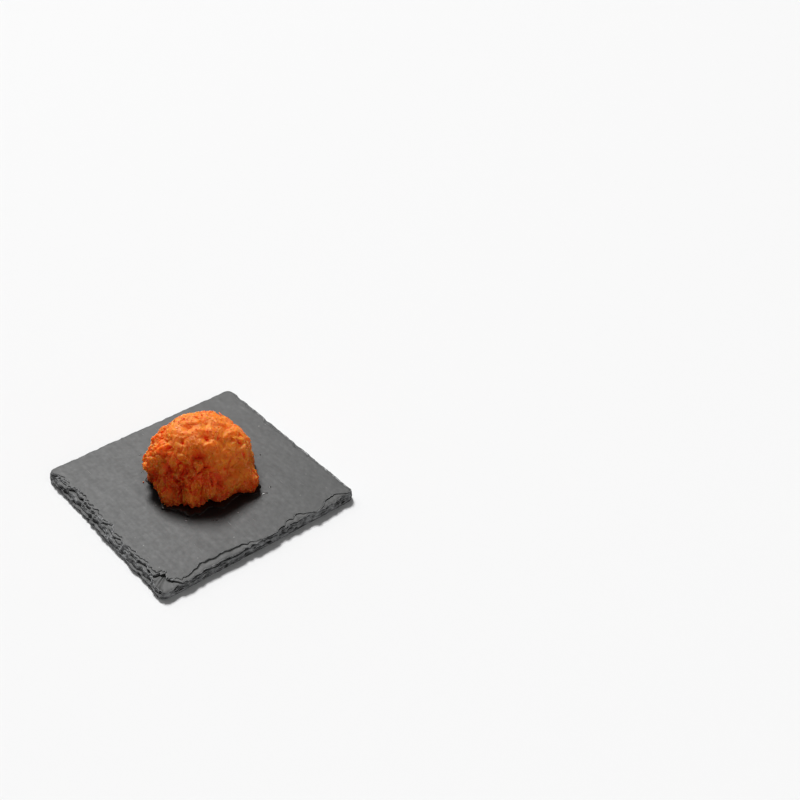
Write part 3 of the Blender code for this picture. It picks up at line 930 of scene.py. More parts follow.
class MENTAIKO_OT_slate(bpy.types.Operator):
    """Add the square slate plate with its split and chipped edge"""

    bl_idname = "mentaiko.slate"
    bl_label = "Slate plate"

    def execute(self, context):
        settings = context.scene.mentaiko_slate
        piece = start_primitive(
            bpy.ops.mesh.primitive_grid_add, "slate",
            x_subdivisions=GRID_CELLS, y_subdivisions=GRID_CELLS, size=2,
        )
        mesh = piece.data
        bpy.ops.object.mode_set(mode="OBJECT")
        corner_runs = np.arange(4 * GRID_CELLS) * PLATE_SIDE / GRID_CELLS
        rings = edge_rings(corner_runs, settings.edge_relief, settings.crack_depth)
        heights, set_backs, lips, steepness = rings
        bpy.ops.object.mode_set(mode="EDIT")
        bpy.ops.mesh.region_to_loop()
        for _ in range(len(heights) - 1):
            bpy.ops.mesh.extrude_region_move(TRANSFORM_OT_translate={"value": (0, 0, -RING_DROP)})
        for inset in UNDERSIDE_INSETS:
            bpy.ops.mesh.extrude_region_move(TRANSFORM_OT_translate={"value": (0, 0, -RING_DROP)})
            bpy.ops.transform.resize(value=(inset, inset, 1))
        bpy.ops.mesh.extrude_region_move(TRANSFORM_OT_translate={"value": (0, 0, -RING_DROP)})
        bpy.ops.mesh.merge(type="CENTER")
        close_outwards(piece)

        raw = points_of(mesh)
        ring = np.rint(-raw[:, 2] / RING_DROP).astype(int)
        reach = np.abs(raw[:, :2]).max(axis=1)
        spot = raw[:, :2] / np.maximum(reach, TINY)[:, None]
        x, y = spot[:, 0], spot[:, 1]
        runs = np.select(
            [y <= -1 + TINY, x >= 1 - TINY, y >= 1 - TINY],
            [(1 + x) / 2, 1 + (1 + y) / 2, 2 + (1 - x) / 2], 3 + (1 - y) / 2,
        ) * PLATE_SIDE % (4 * PLATE_SIDE)
        places, outward = outline_places(runs)

        last = len(heights) - 1
        row = np.clip(last - ring, 0, last)
        turn = runs / (PLATE_SIDE / GRID_CELLS)
        column = np.floor(turn).astype(int) % (4 * GRID_CELLS)
        share = turn - np.floor(turn)
        following = (column + 1) % (4 * GRID_CELLS)
        back = set_backs[row, column] * (1 - share) + set_backs[row, following] * share
        height = heights[row, column] * (1 - share) + heights[row, following] * share

        rim = places - outward * back[:, None]
        square = spot * PLATE_SIDE / 2
        inside = (ring == 0) & (reach < 1 - TINY)
        pulled = square * reach[:, None] + (rim - square) * (reach**RIM_PULL)[:, None]
        flat = np.where(inside[:, None], pulled, rim)
        under = ring > last
        flat = np.where(under[:, None], rim * reach[:, None], flat)
        flat = flat + slate_shift()

        points = np.column_stack([flat, height])
        lowered = top_relief_at(np.column_stack([flat, np.zeros(len(flat))]), settings.top_relief)
        upper_share = (points[:, 2] - TOP_RELIEF_FROM) / (PLATE_THICKNESS - TOP_RELIEF_FROM)
        upper_share = np.clip(upper_share, 0.0, 1.0)
        points[:, 2] += np.where(ring == 0, 1.0, upper_share) * lowered
        points[:, 2] = np.where(under, 0.0, points[:, 2])
        place_points(mesh, points)

        store(mesh, "broken", np.where((ring == 0) | under, 0.0, steepness[row, column]))
        # Painted shadow round the roe, kept on the points for the material
        store(mesh, "painted_shadow", painted_shadow_share(points))
        flaked = np.clip(smooth_noise(points, *LIP_NOISE) * LIP_CONTRAST + LIP_MEAN, 0.0, 1.0)
        store(mesh, "lip", lips[row, column] * flaked * np.where(inside, 0.0, 1.0))
        finish_piece(piece, self.material(settings))
        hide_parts("slate_plate")
        return {"FINISHED"}

    def material(self, settings):
        """Split slate: dark with soft clouds, streaks and scratches on top, paler strata on the edge, and a
        painted shadow round the roe.
        """
        sheet = MaterialSheet("split slate", Metallic=0.0, IOR=1.5, Specular_IOR_Level=0.256)
        clouds = sheet.noise(17.0, 4.0)
        mottle = sheet.noise(2.2, 5.0, 0.6)
        grain = sheet.noise(0.35, 3.0)
        streaks = sheet.noise(1.0, 4.0, 0.6, sheet.place((0.07, 0.55, 0.3), math.radians(24)))
        scratch_lines = sheet.noise(1.0, 2.0, 0.5, sheet.place((0.10, 1.6, 0.3), math.radians(-34)))
        strata = sheet.noise(1.0, 4.0, 0.65, sheet.place((0.35, 0.35, 5.0)))
        chunks = sheet.noise(1.7, 3.0, 0.6)
        specks = sheet.cells(5.2)
        edge = sheet.attribute("broken")
        lip = sheet.attribute("lip")

        tone = 0.92 + clouds * 0.16 + (mottle - 0.5) * 0.14 + (grain - 0.5) * 0.12 + (streaks - 0.5) * 0.12
        top = sheet.shade((*settings.colour, 1.0), tone)
        banded = sheet.ramp(chunks, 0.30, 0.70) * 0.9 + strata * 0.9 + (grain - 0.5) * 0.5
        split = sheet.shade((*settings.edge_colour, 1.0), banded)
        # The top is darkened by the painted shadow round the roe
        colour = sheet.blend(edge, sheet.shade(top, 1.0 - sheet.attribute("painted_shadow") * 0.8), split)
        scratches = sheet.ramp(scratch_lines, 0.70, 0.76) * sheet.ramp(mottle, 0.45, 0.6)
        dots = (1.0 - sheet.ramp(specks, 0.045, 0.085)) * sheet.ramp(clouds, 0.42, 0.60)
        worn = lip * sheet.ramp(mottle, 0.42, 0.66)
        marks = (scratches * 0.35).larger(dots * 0.5).larger(worn * 0.40)
        colour = sheet.blend(marks, colour, settings.bruise_colour)
        sheet.feed("Base Color", colour)
        sheet.feed("Roughness", 0.50 + (mottle - 0.5) * 0.13 + (streaks - 0.5) * 0.09 + edge * 0.08)
        relief = grain * 0.5 + mottle * 0.8 + streaks * 0.5
        relief = relief + edge * (strata * 1.5 + chunks * 5.0 + sheet.cells(0.9) * 2.0)
        sheet.bump(relief, 0.08 * MM, 0.35)
        return sheet


def unit_vectors(azimuths, elevations):
    """Directions from azimuth and elevation in degrees, as rows of x, y, z."""
    azimuth = np.radians(azimuths)
    elevation = np.radians(elevations)
    level = np.cos(elevation)
    return np.stack([level * np.cos(azimuth), level * np.sin(azimuth), np.sin(elevation)], axis=-1)


def scattered_directions(count, draw, jitter, folded=False):
    """Evenly spread directions over the upper half of a sphere, each moved a little at random.

    Those that are moved past the top stay there, or come down its other side if folded.
    """
    golden_turn = math.pi * (3 - math.sqrt(5))
    found = []
    for number in range(count):
        height = (number + 0.5) / count + draw.uniform(-jitter, jitter) / math.sqrt(count)
        if folded and height > 1:
            height = 2 - height
        height = min(max(height, 0.0), 1.0)
        azimuth = number * golden_turn + draw.uniform(-jitter, jitter) * 2 / math.sqrt(count)
        level = math.sqrt(1 - height * height)
        found.append((level * math.cos(azimuth), level * math.sin(azimuth), height))
    return np.array(found)


def angles_from(centres, directions):
    """Angles in degrees from one centre, or from each in a table of centres, to directions."""
    return np.degrees(np.arccos(np.clip(directions @ centres.T, -1.0, 1.0)))


def side_share(directions, middle, half_width):
    """How far directions belong to one side of the heap: 1 at its middle, 0 well past its half width."""
    return np.exp(-((angles_from(unit_vectors(*middle), directions) / half_width) ** 4))


def heaped_caps(directions, centres, half_widths, rises):
    """Height of the highest rounded cap over each direction; caps meet in creases."""
    angles = angles_from(centres, directions)
    caps = rises * np.sqrt(np.clip(1 - (angles / half_widths) ** 2, 0.0, None))
    return caps.max(axis=1)


def lump_relief(directions):
    """The mound's named bumps and hollows, each a smooth swell."""
    relief = np.zeros(len(directions))
    for azimuth, elevation, half_width, rise in LUMPS.values():
        angle = angles_from(unit_vectors(azimuth, elevation), directions)
        relief += rise * np.exp(-((angle / half_width) ** 2))
    return relief


def crack_relief(directions):
    """The furrow across the mound's top."""
    start = unit_vectors(*CRACK_START)
    end = unit_vectors(*CRACK_END)
    along = end - start
    share = np.clip(((directions - start) @ along) / (along @ along), 0.0, 1.0)
    nearest = start + share[:, None] * along
    away = np.degrees(np.linalg.norm(directions - nearest, axis=1))
    return -CRACK_DEPTH * np.exp(-((away / CRACK_HALF_WIDTH) ** 2))


def cleft_share(directions):
    """Pits and clefts: how far each direction is into one, with its painted shade of deeper red, how deep it
    goes there, and how much painted shade darkens it.
    """
    share = np.zeros(len(directions))
    depth = np.zeros(len(directions))
    cleft_shade = np.zeros(len(directions))
    for azimuth, elevation, half_length, half_width, turn, deepest in CLEFTS:
        centre = unit_vectors(azimuth, elevation)
        level = unit_vectors(azimuth + 90.0, 0.0)
        rising = np.cross(centre, level)
        turn = math.radians(turn)
        along = np.degrees(directions @ (level * math.cos(turn) + rising * math.sin(turn)))
        across = np.degrees(directions @ (rising * math.cos(turn) - level * math.sin(turn)))
        wander = CLEFT_WANDER * np.sin(along * CLEFT_WAVE + azimuth)
        near = np.exp(-((along / half_length) ** 2) - ((across + wander) / half_width) ** 2)
        near *= directions @ centre > 0.5
        # Painted shade in the clefts: deeper red by how deep they are, darker still the narrower they are
        cleft_shade_share = near * min(1.0, deepest / FULLY_SHADED_CLEFT)
        share = np.maximum(share, cleft_shade_share)
        depth = np.maximum(depth, near * deepest)
        cleft_shade = np.maximum(cleft_shade, cleft_shade_share * max(0.0, MOST_CLEFT_SHADE - CLEFT_SHADE_LOSS * half_width))
    return share, depth, cleft_shade


def heap_draws():
    """Clumps and crumbs of the mound, as in the part's source, then the finer flecks."""
    draw = random.Random(CLUMP_SEED)
    clumps = scattered_directions(CLUMP_COUNT, draw, HEAP_JITTER)
    clump_sizes = np.array([draw.uniform(*CLUMP_SIZES) for _ in range(CLUMP_COUNT)])
    crumbs = scattered_directions(CRUMB_COUNT, draw, HEAP_JITTER)
    crumb_sizes = np.array([draw.uniform(*CRUMB_SIZES) for _ in range(CRUMB_COUNT)])
    draw = random.Random(FLECK_SEED)
    flecks = scattered_directions(FLECK_COUNT, draw, HEAP_JITTER)
    fleck_sizes = np.array([draw.uniform(*FLECK_SIZES) for _ in range(FLECK_COUNT)])
    return (clumps, clump_sizes), (crumbs, crumb_sizes), (flecks, fleck_sizes)


def mound_chunk(directions, draws):
    """Points of the mound for some directions, and how much painted shade each gets in a crease or hollow.

    This depth is painted shade: 0 on a crest, 1 in a hollow or low down, and on to 2 down in a crevice.
    """
    (clumps, clump_sizes), (crumbs, crumb_sizes), (flecks, fleck_sizes) = draws
    level = np.hypot(directions[:, 0], directions[:, 1])
    upward = np.clip(directions[:, 2], 0.0, None)
    fullness = (level / MOUND_RADIUS) ** DOME_FULLNESS + (upward / MOUND_HEIGHT) ** DOME_FULLNESS
    reach = fullness ** (-1 / DOME_FULLNESS)
    reach = reach - TUCK_DEPTH * np.exp(-((reach * upward / TUCK_HEIGHT) ** 2))
    swells = lump_relief(directions)
    furrow = crack_relief(directions)
    clump = heaped_caps(directions, clumps, CLUMP_HALF_WIDTH * clump_sizes, CLUMP_RISE * clump_sizes)
    crumb = heaped_caps(directions, crumbs, CRUMB_HALF_WIDTH * crumb_sizes, CRUMB_RISE * crumb_sizes)
    fleck = heaped_caps(directions, flecks, FLECK_HALF_WIDTH * fleck_sizes, FLECK_RISE * fleck_sizes)
    pressed = np.clip((directions[:, 2] - PRESSED_FROM) / PRESSED_RANGE, 0.0, 1.0)
    smooth = side_share(directions, SMOOTH_SIDE, SMOOTH_HALF_WIDTH)
    pressed = np.maximum(pressed, SMOOTH_SHARE * smooth)
    kept = {what: 1 - loss * pressed for what, loss in PRESSED_LOSS.items()}
    cleft, cleft_depth, cleft_shade = cleft_share(directions)
    heaped = clump + crumb - (CLUMP_RISE + CRUMB_RISE) * HEAP_SINK
    reach += swells + furrow * kept["furrow"] + heaped * kept["heap"]
    reach += (fleck - FLECK_RISE * HEAP_SINK) * kept["fleck"]

    base = np.array([*MOUND_CENTRE, PLATE_THICKNESS + CONTACT_GAP])
    points = base + directions * reach[:, None]
    shove = np.column_stack([rough_noise(points, SHOVE_SIZE, seed) for seed in SHOVE_SEEDS])
    shove[:, 2] *= np.clip((points[:, 2] - base[2]) / SHOVE_FROM, 0.0, 1.0)
    points += SHOVE * shove * kept["shove"][:, None]

    torn = side_share(directions, TORN_SIDE, TORN_HALF_WIDTH) * (1 - pressed)
    level = rough_noise(points, CRAG_SIZE, CRAG_SEED) * CRAG_CONTRAST
    ledge = np.floor(level) + np.clip((level - np.floor(level) - LEDGE_FROM) / LEDGE_WIDTH, 0.0, 1.0)
    seam = np.abs(smooth_noise(points * np.array(CREVICE_STRETCH), CREVICE_SIZE, CREVICE_SEED))
    crevice = np.exp(-((seam / CREVICE_WIDTH) ** 2)) * torn
    outwards = CRAG_RISE / 2 * ledge * torn - CREVICE_DEPTH * crevice - cleft_depth
    points += directions * outwards[:, None]
    settled = np.exp(-(((points[:, 2] - base[2]) / SETTLED_HEIGHT) ** 2))
    points[:, 2] -= SETTLED * settled

    # Painted shade: creases between clumps, crumbs and flecks, hollows and clefts are given deeper red,
    # crests none
    depth = PAINTED_SHADE_OF["clump"] * (1 - clump / CLUMP_RISE)
    depth += PAINTED_SHADE_OF["crumb"] * (1 - crumb / CRUMB_RISE)
    depth += PAINTED_SHADE_OF["fleck"] * (1 - fleck / FLECK_RISE)
    depth += PAINTED_SHADE_OF["hollow"] * np.clip(-(swells + furrow) / FULL_HOLLOW, 0.0, 1.0)
    depth += PAINTED_SHADE_OF["cleft"] * cleft - CREST_SHADE_OFFSET - SMOOTH_SIDE_PAINTED_LIGHT * smooth
    # Painted shade low down: the roe is deeper red and darker towards the slate, most at its very foot
    unshaded_height, fully_shaded_height = LOW_SHADE_HEIGHTS
    depth += PAINTED_SHADE_OF["low_shade"] * np.clip((unshaded_height + base[2] - points[:, 2]) / (unshaded_height - fully_shaded_height), 0.0, 1.0)
    foot = PAINTED_FOOT_SHADE * np.exp(-(((points[:, 2] - base[2]) / PAINTED_FOOT_SHADE_HEIGHT) ** 2))
    # Past 1 the depth is further painted shade in crevices, narrow clefts and at the foot
    return np.column_stack([points, np.clip(depth, 0.0, 1.0) + CREVICE_PAINTED_SHADE * crevice + cleft_shade + foot])


def mound_surface(directions):
    """Points of the mound and the painted shade in their creases, worked out in chunks."""
    draws = heap_draws()
    parts = max(1, math.ceil(len(directions) / CHUNK))
    found = np.concatenate([mound_chunk(chunk, draws) for chunk in np.array_split(directions, parts)])
    return found[:, :3], found[:, 3]


def mound_frames(directions, draw):
    """Points on the mound with axes there: two along the surface at a random turn, one outwards."""
    helper = np.where(np.abs(directions[:, 2:3]) > 0.9, [[1.0, 0.0, 0.0]], [[0.0, 0.0, 1.0]])
    first = np.cross(directions, helper)
    first /= np.linalg.norm(first, axis=1, keepdims=True)
    second = np.cross(directions, first)
    middle, depth = mound_surface(directions)
    sides = []
    for axis in (first, second):
        moved = directions + axis * SLOPE_STEP
        moved /= np.linalg.norm(moved, axis=1, keepdims=True)
        sides.append(mound_surface(moved)[0] - middle)
    outward = np.cross(sides[0], sides[1])
    outward /= np.linalg.norm(outward, axis=1, keepdims=True)
    outward *= np.sign((outward * directions).sum(axis=1, keepdims=True))
    along = sides[0] - outward * (sides[0] * outward).sum(axis=1, keepdims=True)
    along /= np.linalg.norm(along, axis=1, keepdims=True)
    across = np.cross(outward, along)
    turn = np.array([draw.uniform(0.0, 2 * math.pi) for _ in directions])[:, None]
    turned = along * np.cos(turn) + across * np.sin(turn)
    return middle, depth, np.stack([turned, np.cross(outward, turned), outward], axis=1)


def roe_material(name, low, high, share_name, radius, roughness, coat, granular):
    """Wet roe: light runs into it, with a moist gloss and round grains; on the core painted shade makes it
    redder in the creases.
    """
    sheet = MaterialSheet(
        name, Metallic=0.0, IOR=1.38, Specular_IOR_Level=0.4,
        Subsurface_Weight=1.0, Subsurface_Radius=radius, Subsurface_Scale=1.0 * MM,
        Coat_Weight=coat, Coat_Roughness=0.12, Coat_IOR=1.38,
    )
    clouds = sheet.noise(6.0, 3.0)
    fine = sheet.noise(0.9, 3.0, 0.6)
    share = sheet.attribute(share_name)
    # On the core the share is painted shade, deeper red in creases and hollows
    mixed = sheet.ramp(share + (clouds - 0.5) * 0.4 + (fine - 0.5) * 0.24, 0.10, 0.87)
    colour = sheet.blend(mixed, low, high)
    # Small pits with painted shade, and past a share of 1 painted shade that darkens the colour
    if granular:
        shaded_pits = sheet.ramp(sheet.noise(1.5, 2.0), 0.60, 0.72)
        colour = sheet.blend(shaded_pits * 0.35, colour, high)
        colour = sheet.shade(colour, 1.0 - sheet.ramp(share, 1.0, 2.0) * 0.45 - shaded_pits * 0.12)
    sheet.feed("Base Color", colour)
    sheet.feed("Roughness", roughness + (fine - 0.5) * 0.25)
    relief = fine + sheet.noise(0.3, 2.0) * 0.4
    if granular:
        relief = relief * 0.6 + (1.0 - sheet.cells(0.95) ** 2.0) * 1.2 - shaded_pits * 1.5
    sheet.bump(relief, 0.12 * MM, 0.5)
    return sheet


class MENTAIKO_OT_mound(bpy.types.Operator):
    """Add the heaped mound of roe, down to the crumbs that hold its grains"""

    bl_idname = "mentaiko.mound"
    bl_label = "Roe mound"

    def execute(self, context):
        settings = context.scene.mentaiko_roe
        piece = start_primitive(bpy.ops.mesh.primitive_cube_add, "roe_core", size=2)
        bpy.ops.mesh.subdivide(number_cuts=1)
        bpy.ops.mesh.subdivide(number_cuts=CORE_CUTS)
        bpy.ops.mesh.select_all(action="SELECT")
        bpy.ops.mesh.bisect(plane_co=(0, 0, 0), plane_no=(0, 0, 1), clear_inner=True)
        bpy.ops.mesh.select_all(action="SELECT")
        bpy.ops.mesh.region_to_loop()
        bpy.ops.mesh.extrude_region_move()
        bpy.ops.transform.resize(value=(0.8, 0.8, 1))
        bpy.ops.mesh.extrude_region_move()
        bpy.ops.mesh.merge(type="CENTER")
        close_outwards(piece)

        cube = points_of(piece.data)
        scale = np.abs(cube).max(axis=1)
        unit = np.clip(cube / np.maximum(scale, TINY)[:, None], -1, 1)
        swelled = np.tan(unit * math.pi / 4)
        swelled[:, 2] = np.clip(swelled[:, 2], 0.0, None)
        swelled[scale < TINY] = (1.0, 0.0, 0.0)
        directions = swelled / np.linalg.norm(swelled, axis=1, keepdims=True)
        surface, depth = mound_surface(directions)
        middle = np.array([*MOUND_CENTRE, 0.0])
        inner = scale < 1 - TINY
        shrunk = middle + (surface - middle) * np.where(inner, scale, 1.0)[:, None]
        shrunk[:, 2] = surface[:, 2]
        place_points(piece.data, shrunk)
        # The depth is painted shade, which the material turns deeper red and darker
        store(piece.data, "depth", depth)
        sheet = roe_material(
            "wet roe paste", settings.paste_colour, settings.deep_and_shade_colour, "depth",
            (6.5, 1.1, 0.25), 0.55, 0.0, True,
        )
        finish_piece(piece, sheet)
        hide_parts("roe_mound")
        return {"FINISHED"}


def grain_template(name):
    """One egg of the roe: a ball of a few dozen faces, half a unit in radius."""
    ball = start_primitive(bpy.ops.mesh.primitive_cube_add, name, size=1)
    bpy.ops.mesh.subdivide(number_cuts=1)
    bpy.ops.transform.tosphere(value=1)
    close_outwards(ball)
    points = points_of(ball.data)
    place_points(ball.data, points / np.linalg.norm(points, axis=1, keepdims=True) / 2)
    return ball


def drop(*helpers):
    """Delete helper objects that only lent their shape."""
    for helper in helpers:
        bpy.data.objects.remove(helper, do_unlink=True)


class MENTAIKO_OT_grains(bpy.types.Operator):
    """Add the loose eggs that cover the mound, in three kinds"""

    bl_idname = "mentaiko.grains"
    bl_label = "Roe grains"

    def execute(self, context):
        settings = context.scene.mentaiko_roe
        kinds = (
            ("amber_roe_grains", settings.paste_colour, settings.deep_and_shade_colour, (0.12, 0.05, 0.02)),
            ("deep_and_shaded_roe_grains", settings.deep_and_shade_colour, settings.paste_colour, (0.12, 0.04, 0.02)),
            ("pale_and_lit_roe_grains", settings.pale_colour, settings.paste_colour, (0.12, 0.06, 0.03)),
        )
        template = grain_template("grain")
        draw = random.Random(GRAIN_SEED)
        directions = scattered_directions(settings.grain_count, draw, GRAIN_JITTER, folded=True)
        bare = BARE_SHARE * side_share(directions, SMOOTH_SIDE, SMOOTH_HALF_WIDTH)
        directions = directions[np.array([draw.random() for _ in directions]) > bare]
        middles, depth, frames = mound_frames(directions, draw)
        total = len(directions)
        girth = settings.grain_size * np.array([draw.uniform(*GRAIN_SIZES) for _ in range(total)])
        squash = np.array([
            (1.0, draw.uniform(*GRAIN_WIDTHS), draw.uniform(*GRAIN_HEIGHTS)) for _ in range(total)
        ])
        sink = np.array([draw.uniform(*GRAIN_SINKS) for _ in range(total)])
        middles = middles + frames[:, 2, :] * (girth * sink)[:, None]
        middles[:, 2] = np.maximum(middles[:, 2], PLATE_THICKNESS + girth * GRAIN_CLEARANCE)
        # Painted light and shade: eggs on crests are mostly pale, eggs in shaded hollows mostly deep
        lot = np.array([draw.random() for _ in range(total)])
        lot += (np.minimum(depth, 1.0) - LOT_MIDDLE) * LOT_BY_PAINTED_SHADE
        pale_lot, deep_lot = KIND_LOTS
        kind = np.where(lot < pale_lot, 2, np.where(lot < deep_lot, 0, 1))
        tones = np.array([0.7 * draw.random() ** 2 for _ in range(total)])
        for number, (name, low, high, radius) in enumerate(kinds):
            chosen = kind == number
            piece = joined_copies(
                name, [template.data], np.zeros(chosen.sum(), int), frames[chosen],
                girth[chosen][:, None] * squash[chosen], middles[chosen], tones[chosen],
            )
            sheet = roe_material(name.replace("_", " "), low, high, "tone", radius, 0.38, 0.45, False)
            finish_piece(piece, sheet)
        drop(template)
        return {"FINISHED"}


class MENTAIKO_OT_shreds(bpy.types.Operator):
    """Add the torn shreds of the roe's skin and the chilli flakes"""

    bl_idname = "mentaiko.shreds"
    bl_label = "Skin shreds and chilli"

    def execute(self, context):
        settings = context.scene.mentaiko_roe
        draw = random.Random(SHRED_SEED)
        curls = [self.shred("curl_%d" % number, draw) for number in range(SHRED_SHAPES)]
        count = SHRED_COUNT
        directions = scattered_directions(count, draw, STRAY_JITTER, folded=True)
        middles, _, frames = mound_frames(directions, draw)
        middles = middles - frames[:, 2, :] * SHRED_SINK
        sizes = np.array([[draw.uniform(*limits) for limits in SHRED_SIZES] for _ in range(count)]) * MM
        choices = np.array([draw.randrange(len(curls)) for _ in range(count)])
        tones = np.array([0.5 * draw.random() for _ in range(count)])
        shapes = [curl.data for curl in curls]
        piece = joined_copies("skin_shreds", shapes, choices, frames, sizes, middles, tones)
        sheet = roe_material(
            "roe skin", settings.skin_colour, settings.deep_and_shade_colour, "tone",
            (0.6, 0.20, 0.1), 0.38, 0.12, False,
        )
        finish_piece(piece, sheet)
        drop(*curls)

        flake = grain_template("flake")
        points = points_of(flake.data)
        place_points(flake.data, points * (1 + FLAKE_DENT * smooth_noise(points, *FLAKE_NOISE))[:, None])
        count = FLAKE_COUNT
        directions = scattered_directions(count, draw, STRAY_JITTER, folded=True)
        middles, _, frames = mound_frames(directions, draw)
        middles = middles + frames[:, 2, :] * FLAKE_LIFT
        sizes = np.array([
            [*(draw.uniform(*limits) for limits in FLAKE_SIZES), FLAKE_HEIGHT] for _ in range(count)
        ]) * MM
        tones = np.array([draw.random() for _ in range(count)])
        choices = np.zeros(count, int)
        piece = joined_copies("chilli_flakes", [flake.data], choices, frames, sizes, middles, tones)
        sheet = roe_material(
            "chilli", settings.chilli_colour, settings.pale_chilli_colour, "tone",
            (0.2, 0.04, 0.02), 0.3, 0.2, False,
        )
        finish_piece(piece, sheet, smooth=False)
        drop(flake)
        return {"FINISHED"}

    def shred(self, name, draw):
        """A thin curled strip of skin, one unit long and wide, closed all round."""
        strip = start_primitive(
            bpy.ops.mesh.primitive_grid_add, name, x_subdivisions=5, y_subdivisions=2, size=1
        )
        bpy.ops.object.mode_set(mode="OBJECT")
        curl, twist, taper = draw.uniform(0.5, 1.3), draw.uniform(-0.5, 0.5), draw.uniform(0.3, 0.7)
        points = points_of(strip.data)
        x, y = points[:, 0].copy(), points[:, 1].copy()
        points[:, 1] = y * (1 - taper * (2 * x) ** 2) + 0.15 * np.sin(4 * x + twist * 5)
        points[:, 2] = 0.5 * curl * x**2 + twist * x * y - 0.25 * np.abs(y)
        place_points(strip.data, points)
        wall = strip.modifiers.new("wall", "SOLIDIFY")
        wall.thickness = SHRED_WALL
        wall.offset = 0.0
        bpy.ops.object.modifier_apply(modifier=wall.name)
        return strip


class MENTAIKO_OT_crumbs(bpy.types.Operator):
    """Add the few eggs that have dropped on the slate by the mound"""

    bl_idname = "mentaiko.crumbs"
    bl_label = "Fallen grains"

    def execute(self, context):
        settings = context.scene.mentaiko_roe
        template = grain_template("fallen")
        draw = random.Random(FALLEN_SEED)
        count = FALLEN_COUNT
        azimuths = np.array([draw.uniform(*FALLEN_AZIMUTHS) for _ in range(count)])
        foot, _ = mound_surface(unit_vectors(azimuths, np.zeros(count)))
        middle = np.array([*MOUND_CENTRE])
        outward = foot[:, :2] - middle
        reach = np.linalg.norm(outward, axis=1)
        away = np.array([draw.random() ** FALLEN_CLOSENESS for _ in range(count)])
        away = (FALLEN_NEAREST + FALLEN_REACH * away) * MM
        spots = middle + outward * ((reach + away) / reach)[:, None]
        girth = settings.grain_size * np.array([draw.uniform(*FALLEN_SIZES) for _ in range(count)])
        top_relief = context.scene.mentaiko_slate.top_relief
        relief = top_relief_at(np.column_stack([spots, np.zeros(count)]), top_relief)
        middles = np.column_stack([spots, PLATE_THICKNESS + relief + girth * FALLEN_MIDDLE])
        frames = np.repeat(np.eye(3)[None], count, axis=0)
        squash = np.array([(1.0, draw.uniform(*FALLEN_WIDTHS), FALLEN_HEIGHT) for _ in range(count)])
        tones = np.array([draw.random() for _ in range(count)])
        piece = joined_copies(
            "fallen_grains", [template.data], np.zeros(count, int), frames,
            girth[:, None] * squash, middles, tones,
        )
        sheet = roe_material(
            "fallen roe grains", settings.paste_colour, settings.deep_and_shade_colour, "tone",
            (0.30, 0.12, 0.05), 0.3, 0.25, False,
        )
        finish_piece(piece, sheet)
        drop(template)
        return {"FINISHED"}


